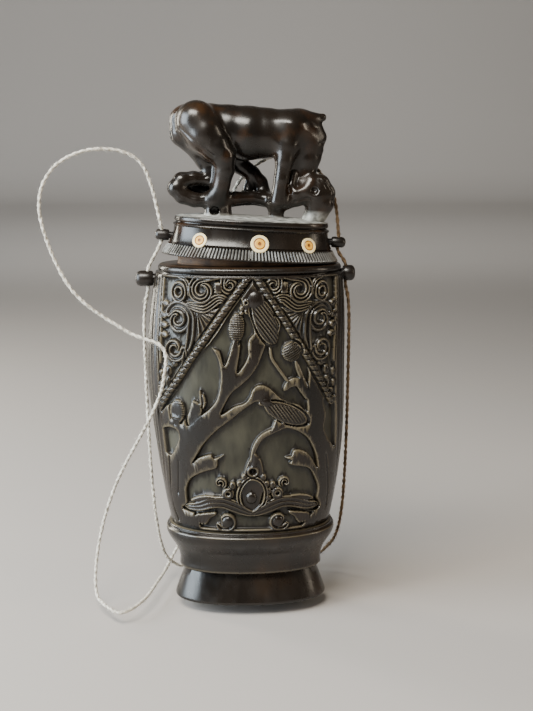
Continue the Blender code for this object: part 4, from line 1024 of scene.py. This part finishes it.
# Each limb: how softly it joins what is there, its depth for its height, then its balls as places
# across, in depth and up, with a radius.
LIMBS = [
    # torso, rump, head and face
    (0.0, 0.92, [(-19.4, 0.0, 37.8, 5.6), (-14.0, 0.0, 38.0, 6.0), (-8.0, 0.0, 37.2, 6.8),
                 (-2.5, 0.0, 36.2, 7.8), (3.0, 0.0, 36.4, 7.3), (8.0, 0.0, 37.0, 6.5),
    (12.0, 0.0, 38.4, 5.2)]),
    (1.5, 0.9, [(-20.4, 0.0, 37.8, 5.4), (-21.4, 0.0, 35.0, 4.0)]),
    (3.0, 0.8, [(13.0, 0.0, 38.0, 5.2), (15.0, 0.0, 34.6, 5.0), (15.2, 0.0, 30.0, 4.1),
                (15.0, 0.0, 26.0, 3.2), (14.4, -0.4, 22.4, 2.4)]),
    (1.0, 1.0, [(12.2, 0.0, 40.0, 3.4), (16.4, 0.0, 41.0, 2.2), (19.2, 0.0, 41.9, 1.2)]),
    (0.8, 1.0, [(17.4, 0.0, 38.2, 2.4), (18.5, 0.0, 36.2, 2.2), (17.8, 0.0, 34.4, 2.0)]),
    (0.5, 1.0, [(18.2, 0.0, 32.4, 1.9), (17.8, 0.0, 30.2, 1.6), (16.8, 0.0, 27.0, 1.6)]),
    # the near hind leg, the far one and the tail that runs into the branch
    (1.0, 1.0, [(-17.6, -3.6, 38.6, 6.0), (-14.9, -4.6, 35.2, 5.8), (-11.9, -5.4, 31.9, 4.6),
                (-9.6, -5.6, 29.0, 3.5)]),
    (0.8, 1.0, [(-9.3, -5.5, 29.2, 3.5), (-8.9, -5.2, 25.4, 2.9), (-9.6, -4.4, 20.8, 2.5),
                (-11.0, -3.6, 16.6, 2.6)]),
    (1.6, 1.0, [(-16.4, 3.4, 37.6, 5.2), (-9.0, 4.8, 31.4, 3.9), (-4.1, 5.2, 26.8, 2.7),
                (-0.4, 5.0, 24.4, 2.4), (2.2, 4.6, 21.9, 2.2), (3.4, 4.0, 18.2, 2.4)]),
    (0.8, 1.0, [(-0.6, 4.8, 24.0, 1.6), (-1.4, 4.4, 20.6, 1.4), (-1.9, 3.8, 17.4, 2.0)]),
    (2.5, 1.0, [(-17.0, 0.2, 32.0, 4.2), (-14.8, -0.4, 28.0, 2.9), (-13.2, -1.0, 24.6, 2.2),
                (-14.0, -1.6, 22.2, 1.9), (-17.8, -2.2, 22.3, 2.1), (-21.2, -2.6, 21.4, 2.5),
    (-22.6, -3.0, 19.2, 2.6), (-20.8, -3.2, 17.2, 2.4), (-17.2, -3.2, 16.1, 2.1), (-13.4, -3.0, 16.2, 2.0),
    (-9.6, -2.2, 16.7, 2.0), (-5.2, -1.2, 17.3, 1.8), (-0.2, 0.0, 17.7, 1.7), (4.0, 0.2, 17.2, 1.9),
    (7.0, -0.8, 16.1, 2.2), (10.0, -1.6, 16.9, 2.1), (13.0, -2.0, 18.2, 2.4), (15.6, -2.2, 19.4, 2.6)]),
    (1.2, 1.0, [(-8.0, 2.0, 15.8, 1.8), (-1.0, 3.0, 17.0, 1.7), (5.0, 2.6, 16.6, 1.8),
                (12.0, 1.6, 17.4, 2.2)]),
    (1.0, 1.0, [(-20.4, 1.0, 19.6, 1.7), (-14.0, 2.2, 18.6, 2.6), (-8.0, 2.4, 16.4, 2.0)]),
    # arms and the serpent's head at the branch's end
    (3.0, 1.0, [(10.0, -2.6, 37.6, 5.0), (9.0, -4.2, 33.4, 3.4), (8.3, -4.8, 29.0, 2.6),
                (7.8, -4.6, 23.6, 2.2), (7.1, -3.8, 17.0, 2.2)]),
    (2.6, 1.0, [(12.0, 3.2, 37.0, 4.4), (13.2, 4.0, 31.0, 3.2), (12.9, 3.8, 26.0, 2.6),
                (12.2, 3.2, 19.6, 2.4)]),
    (1.5, 1.0, [(11.4, -0.2, 34.0, 3.4), (11.0, -0.4, 28.0, 2.2), (10.8, -0.6, 22.4, 1.4)]),
    (0.6, 1.0, [(11.4, -1.8, 25.0, 1.2), (10.9, -2.6, 21.6, 1.2), (12.2, -3.4, 19.6, 1.3),
                (14.8, -3.6, 20.4, 1.3), (16.8, -3.2, 23.0, 1.2)]),
    (0.8, 1.0, [(14.2, -1.4, 22.6, 1.9), (16.8, -1.6, 23.4, 2.3), (19.6, -1.6, 22.6, 2.8),
                (21.2, -1.4, 20.0, 3.0), (20.8, -1.2, 17.0, 3.2), (19.6, -1.0, 14.4, 3.0),
    (18.0, -0.8, 12.0, 3.2)]),
    (1.0, 1.0, [(16.4, -1.8, 20.6, 3.0), (18.2, -1.8, 19.6, 3.5), (18.4, -1.4, 16.0, 3.0)]),
    (1.5, 1.0, [(-8.4, -1.2, 15.4, 1.9), (-8.2, -1.2, 10.4, 2.6)]),
    (2.0, 1.0, [(6.9, -0.6, 15.4, 1.8), (7.3, -0.6, 10.0, 2.8)]),
    (1.0, 1.0, [(-11.6, -3.0, 15.0, 2.4), (-11.4, -3.4, 11.4, 2.9), (-8.6, -2.6, 11.6, 2.5)]),
    (0.8, 1.0, [(-11.2, -3.0, 13.4, 2.4), (-8.6, -2.2, 13.6, 2.0)]),
]
SERPENT_EYE = (17.7, -5.0, 20.8, 1.1)
POST_HOLE = (-11.2, -3.0, 13.3, 1.35)
FIGURE_GRID = 0.36
FIGURE_LOW = (-28.5, -10.5, 8.0)
FIGURE_HIGH = (26.5, 10.5, 46.5)

axes = [np.arange(low, high, FIGURE_GRID, dtype=np.float32) for low, high in zip(FIGURE_LOW, FIGURE_HIGH)]
across, depth, height = np.meshgrid(*axes, indexing="ij", sparse=True)


def limb_distance(balls, flatness):
    """Distance of every grid place to a tapering limb through balls."""
    best = None
    for (x0, y0, z0, r0), (x1, y1, z1, r1) in zip(balls, balls[1:]):
        dx, dy, dz = x1 - x0, y1 - y0, z1 - z0
        part = ((across - x0) * dx + (depth - y0) * dy + (height - z0) * dz) / (dx * dx + dy * dy + dz * dz)
        part = np.clip(part, 0, 1)
        away = np.sqrt((across - x0 - part * dx) ** 2 + ((depth - y0 - part * dy) / flatness) ** 2
                       + (height - z0 - part * dz) ** 2) - (r0 + part * (r1 - r0))
        best = away if best is None else joined(best, away, 0.6)
    return best


def joined(first, second, softness):
    """Two distances as one form, with a rounded fillet between them."""
    if not softness:
        return np.minimum(first, second)
    share = np.clip(softness - np.abs(first - second), 0, None) / softness
    return np.minimum(first, second) - share ** 2 * softness / 4


form = np.full([len(axis) for axis in axes], 50.0, np.float32)
for softness, flatness, balls in LIMBS:
    form = joined(form, limb_distance(balls, flatness), softness)
x, y, z, radius = SERPENT_EYE
form = np.maximum(form, radius - np.sqrt((across - x) ** 2 + (depth - y) ** 2 + (height - z) ** 2))
x, y, z, radius = POST_HOLE
form = np.maximum(form, -np.maximum(np.hypot(across - x, height - z) - radius, depth - y))
grid = openvdb.FloatGrid()
grid.copyFromArray(np.ascontiguousarray(form, dtype=np.float32))
points, quads = grid.convertToQuads(0.0)
points = points * FIGURE_GRID + np.array(FIGURE_LOW)
carved = bpy.data.meshes.new("figure")
carved.from_pydata(points, [], quads.tolist())
shape = bmesh.new()
shape.from_mesh(carved)
bmesh.ops.recalc_face_normals(shape, faces=shape.faces)
for _ in range(2):
    bmesh.ops.smooth_vert(shape, verts=shape.verts, factor=0.5, use_axis_x=True, use_axis_y=True,
                          use_axis_z=True)
shape.to_mesh(carved)
shape.free()


def groove(points, normals, line, half, depth):
    """A skin's points with a rounded groove cut along a line."""
    line = smooth_line(line, 0.5)
    best = np.full(len(points), 1e3)
    for place in line:
        best = np.minimum(best, np.linalg.norm(points - place, axis=1))
    share = np.clip(1 - (best / half) ** 2, 0, 1)
    return points - normals * (depth * share)[:, None]


def points_of(mesh):
    """A mesh's points, one to a row."""
    places = np.zeros(3 * len(mesh.vertices))
    mesh.vertices.foreach_get("co", places)
    return places.reshape(-1, 3)


points = points_of(carved)
normals = np.array([vertex.normal for vertex in carved.vertices])
# Each groove: its line, half its width, its depth.
GROOVES = [
    ([(-22.6, -3.0, 41.6), (-24.2, -3.4, 38.6), (-24.0, -3.6, 35.0)], 0.6, 0.4),
    ([(-20.8, -5.0, 42.0), (-22.2, -5.2, 39.0), (-22.4, -5.2, 36.0)], 0.6, 0.4),
    ([(-25.0, -1.0, 40.0), (-25.6, -1.2, 37.0), (-24.6, -1.6, 33.6)], 0.5, 0.3),
    ([(-22.6, -7.0, 36.2), (-18.0, -9.4, 32.4), (-12.6, -9.4, 28.8)], 0.9, 0.45),
    ([(-23.4, -5.0, 34.2), (-19.4, -7.6, 30.4), (-14.2, -8.4, 27.6)], 0.6, 0.3),
    ([(-12.6, -2.8, 24.0), (-15.0, -3.8, 22.6), (-19.0, -4.4, 22.4), (-23.4, -5.0, 20.0), (-21.0, -5.4, 16.8),
      (-16.0, -5.4, 15.4), (-9.0, -4.4, 15.4)], 0.4, 0.2),
    ([(-14.0, -3.6, 20.6), (-19.0, -4.6, 20.4), (-21.6, -5.0, 18.8), (-18.0, -5.4, 17.0),
      (-12.0, -5.2, 16.4)], 0.4, 0.2),
    ([(19.6, -2.0, 39.6), (17.8, -3.4, 39.0), (15.4, -4.0, 39.4)], 0.8, 0.35),
    ([(20.0, -1.0, 34.6), (18.4, -2.8, 34.4)], 0.5, 0.35),
    ([(20.2, -1.0, 31.2), (18.4, -2.6, 31.0)], 0.4, 0.3),
    ([(20.4, -4.0, 24.6), (23.0, -3.6, 21.6), (23.4, -3.2, 18.0), (21.6, -3.0, 14.4)], 0.45, 0.3),
    ([(19.0, -4.4, 24.0), (21.4, -4.0, 21.4), (21.6, -3.6, 18.2), (19.8, -3.4, 15.4)], 0.45, 0.3),
    ([(12.0, -4.0, 17.2), (15.6, -4.6, 18.4), (18.4, -4.6, 17.8)], 0.5, 0.35),
]
for line, half, depth_cut in GROOVES:
    points = groove(points, normals, line, half, depth_cut)
carved.vertices.foreach_set("co", points.ravel())
shape = bmesh.new()
shape.from_mesh(cap.data)
shape.from_mesh(carved)
shape.to_mesh(cap.data)
shape.free()
cap.data.shade_smooth()
cap.data.set_sharp_from_angle(angle=math.radians(50))
places = points_of(cap.data)
cap.data.vertices.foreach_set("co", (on_lid(places) * MM).ravel())
heights = places[:, 2]
low_side = places[:, 0] > 12.0
ribbed_points = np.concatenate(rubbed_ribs + [np.zeros(len(points))])
above_edge = np.clip((heights - PLATE_TOP + 0.4) / 0.5, 0, 1)
below_figure = np.clip((13.2 + 2.4 * low_side - heights) / (1.4 + 1.6 * low_side), 0, 1)
keep_values(cap.data, "dusty", RIB_WEAR * ribbed_points + above_edge * below_figure)
PLATE_TINTS = [(0.25, (0.05, 0.045, 0.038)), (0.45, (0.22, 0.22, 0.20)), (0.7, (0.46, 0.46, 0.43))]
PLATE_ROUGHNESS = (0.7, 0.7, 0.7)
AMBER_TINT = (0.075, 0.030, 0.009)
lid_horn, tree, shader, base, rubbed = horn_material("lid horn", 0.25)
rough = ramp(tree, noise(tree, 500, 5, (1, 1.5, 1)), PLATE_TINTS)
share = ramp(tree, point_value(tree, "dusty"), [(0.2, 0.0), (0.9, 0.85)])
amber = ramp(tree, noise(tree, 130, 3), [(0.55, 0.0), (0.75, 0.3)])
warm = mixed(tree, amber, base, AMBER_TINT)
tree.links.new(mixed(tree, share, warm, rough), shader.inputs["Base Color"])
tree.links.new(mixed(tree, share, rubbed, PLATE_ROUGHNESS), shader.inputs["Roughness"])
cap.data.materials.append(lid_horn)
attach(cap, "root")
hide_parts("lid")


# Inlays: six flat discs of yellowed bone pressed into the lid's side, each cut with a ring and a dot
# that are rubbed with brown wax.
INLAY_DEPTH = 1.0
INLAY_PROUD = 0.25
INLAY_HEIGHT = 5.0
INLAYS = {"left": (-15.2, 2.2), "middle": (2.0, 2.65), "right": (16.4, 2.3)}
RING_HALF = 0.055
WORN_RIM = 0.08
RING_SHARE = 0.6
RING_DIP = 0.16
DOT_SHARE = 0.18
DOT_DIP = 0.2


def inlay_frame(across, face):
    """Place and outward direction of an inlay on the lid's side."""
    across = -face * across
    low, high = lid_half(INLAY_HEIGHT - 1.0), lid_half(INLAY_HEIGHT + 1.0)
    half = lid_half(INLAY_HEIGHT)
    share = abs(across) / half[0]
    depth = half[1] * (1 - share ** SQUARENESS) ** (1 / SQUARENESS)
    slope = math.atan2(low[1] - high[1], 2.0)
    normal = Vector((math.copysign(share ** (SQUARENESS - 1) / half[0], across),
                     face * (depth / half[1]) ** (SQUARENESS - 1) / half[1], 0.0)).normalized()
    normal.z = math.tan(slope)
    return Vector((across, face * depth, INLAY_HEIGHT)), normal.normalized()


def on_wall(point, face):
    """The place on the lid's hollowed side in front of or behind a point."""
    half = lid_half(max(point.z, RIB_BAND - 0.6))
    depth = half[1] * (1 - (abs(point.x) / half[0]) ** SQUARENESS) ** (1 / SQUARENESS)
    return Vector((point.x, face * depth, point.z))


def turned(line, steps):
    """A shape turned round the Z axis from a line of (radius, height) places."""
    shape = bmesh.new()
    points = [shape.verts.new((radius, 0.0, height)) for radius, height in line]
    for pair in zip(points, points[1:]):
        shape.edges.new(pair)
    bmesh.ops.spin(shape, geom=shape.verts[:] + shape.edges[:], cent=(0, 0, 0), axis=(0, 0, 1),
                   angle=2 * math.pi, steps=steps, use_merge=True)
    bmesh.ops.remove_doubles(shape, verts=shape.verts, dist=1e-4)
    return shape


RING_TINTS = [
    (0.0, (0.13, 0.040, 0.003)), (0.15, (0.18, 0.055, 0.004)), (0.22, (0.62, 0.29, 0.02)),
    (0.50, (0.74, 0.40, 0.04)), (0.55, (0.20, 0.06, 0.005)), (0.63, (0.30, 0.10, 0.01)),
    (0.70, (0.84, 0.70, 0.36)), (1.0, (0.74, 0.62, 0.36)),
]
bone, tree, shader = node_material("yellowed bone", 0.4)
ringed = ramp(tree, point_value(tree, "out"), RING_TINTS)
stained = ramp(tree, noise(tree, 1500), [(0.3, (0.55, 0.4, 0.2)), (0.7, (1.0, 1.0, 1.0))])
tree.links.new(mixed(tree, 0.25, ringed, stained, "MULTIPLY"), shader.inputs["Base Color"])
for face, face_name in ((-1, "front"), (1, "back")):
    for place_name, (across, rim) in INLAYS.items():
        place, normal = inlay_frame(across, face)
        line = [(0.0, INLAY_PROUD - DOT_DIP)]
        for share in np.linspace(0.04, 1.0, 25):
            dip = RING_DIP * math.exp(-((share - RING_SHARE) / RING_HALF) ** 2)
            dip += DOT_DIP * (share < DOT_SHARE)
            line.append((share * rim, INLAY_PROUD - dip - (WORN_RIM if share == 1.0 else 0.0)))
        line += [(rim, -INLAY_DEPTH), (0.0, -INLAY_DEPTH)]
        shape = turned(line, 48)
        turn = normal.to_track_quat("Z", "Y").to_matrix()
        out = [math.hypot(point.co.x, point.co.y) / rim for point in shape.verts]
        for point in shape.verts:
            flat = place + turn @ Vector((point.co.x, point.co.y, 0.0))
            point.co = on_lid([on_wall(flat, face) + normal * point.co.z])[0]
        inlay = finished(f"bone_{face_name}_{place_name}", shape)
        keep_values(inlay.data, "out", out)
        inlay.data.set_sharp_from_angle(angle=math.radians(40))
        inlay.data.materials.append(bone)
        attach(inlay, "root")
        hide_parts(f"inlay_{face_name}_{place_name}")


# Lugs: four small turned pegs of horn in sockets at the ends of the lid and the body, each drilled
# through from top to bottom for the twine.
LUG_HOLE_RADIUS = 0.9
LUG_ROOT_SHARE = 0.6
LUG_PROFILE = [(0.0, 0.86), (0.08, 0.95), (0.35, 1.0), (0.7, 0.98), (0.86, 0.86), (0.96, 0.6), (1.0, 0.25),
               (1.0, 0.0)]
# Each lug: name, its root, shoulder, tip and hole across, its height, its radius, whether it tilts.
LUGS = [
    ("lid_lug_left", -22.4, -24.3, -28.5, -26.7, 5.3, 1.7, True),
    ("lid_lug_right", 22.4, 24.3, 28.5, 26.3, 5.7, 1.7, True),
    ("body_lug_left", -27.4, -28.9, -34.2, -30.4, 99.7, 2.4, False),
    ("body_lug_right", 26.4, 28.2, 31.8, 28.9, 101.0, 2.4, False),
]
lug_horn = horn_material("lug horn", 0.32)[0]
for name, root, shoulder, tip, hole, height, radius, tilted in LUGS:
    reach = tip - shoulder
    thin = LUG_ROOT_SHARE * radius
    line = [(0.0, root), (thin, root), (thin, shoulder)]
    line += [(wide * radius, shoulder + along * reach) for along, wide in LUG_PROFILE]
    shape = turned(line, 40)
    bmesh.ops.rotate(shape, cent=(0, 0, 0), matrix=Matrix.Rotation(math.pi / 2, 3, "Y"), verts=shape.verts)
    lug = finished(f"peg_{name}", shape, 1.0)
    shape = bmesh.new()
    bmesh.ops.create_cone(shape, cap_ends=True, segments=32, radius1=LUG_HOLE_RADIUS, radius2=LUG_HOLE_RADIUS,
                          depth=4 * radius, matrix=Matrix.Translation((hole, 0, 0)))
    drill = finished("drill", shape, 1.0)
    step = lug.modifiers.new("drilled", "BOOLEAN")
    step.solver = "MANIFOLD"
    step.operation = "DIFFERENCE"
    step.object = drill
    graph = bpy.context.evaluated_depsgraph_get()
    lug.data = bpy.data.meshes.new_from_object(lug.evaluated_get(graph), depsgraph=graph)
    lug.modifiers.clear()
    bpy.data.objects.remove(drill, do_unlink=True)
    points = points_of(lug.data) + (0.0, 0.0, height)
    lug.data.vertices.foreach_set("co", ((on_lid(points) if tilted else points) * MM).ravel())
    lug.data.shade_smooth()
    lug.data.set_sharp_from_angle(angle=math.radians(40))
    lug.data.materials.clear()
    lug.data.materials.append(lug_horn)
    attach(lug, "root")
    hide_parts(name)
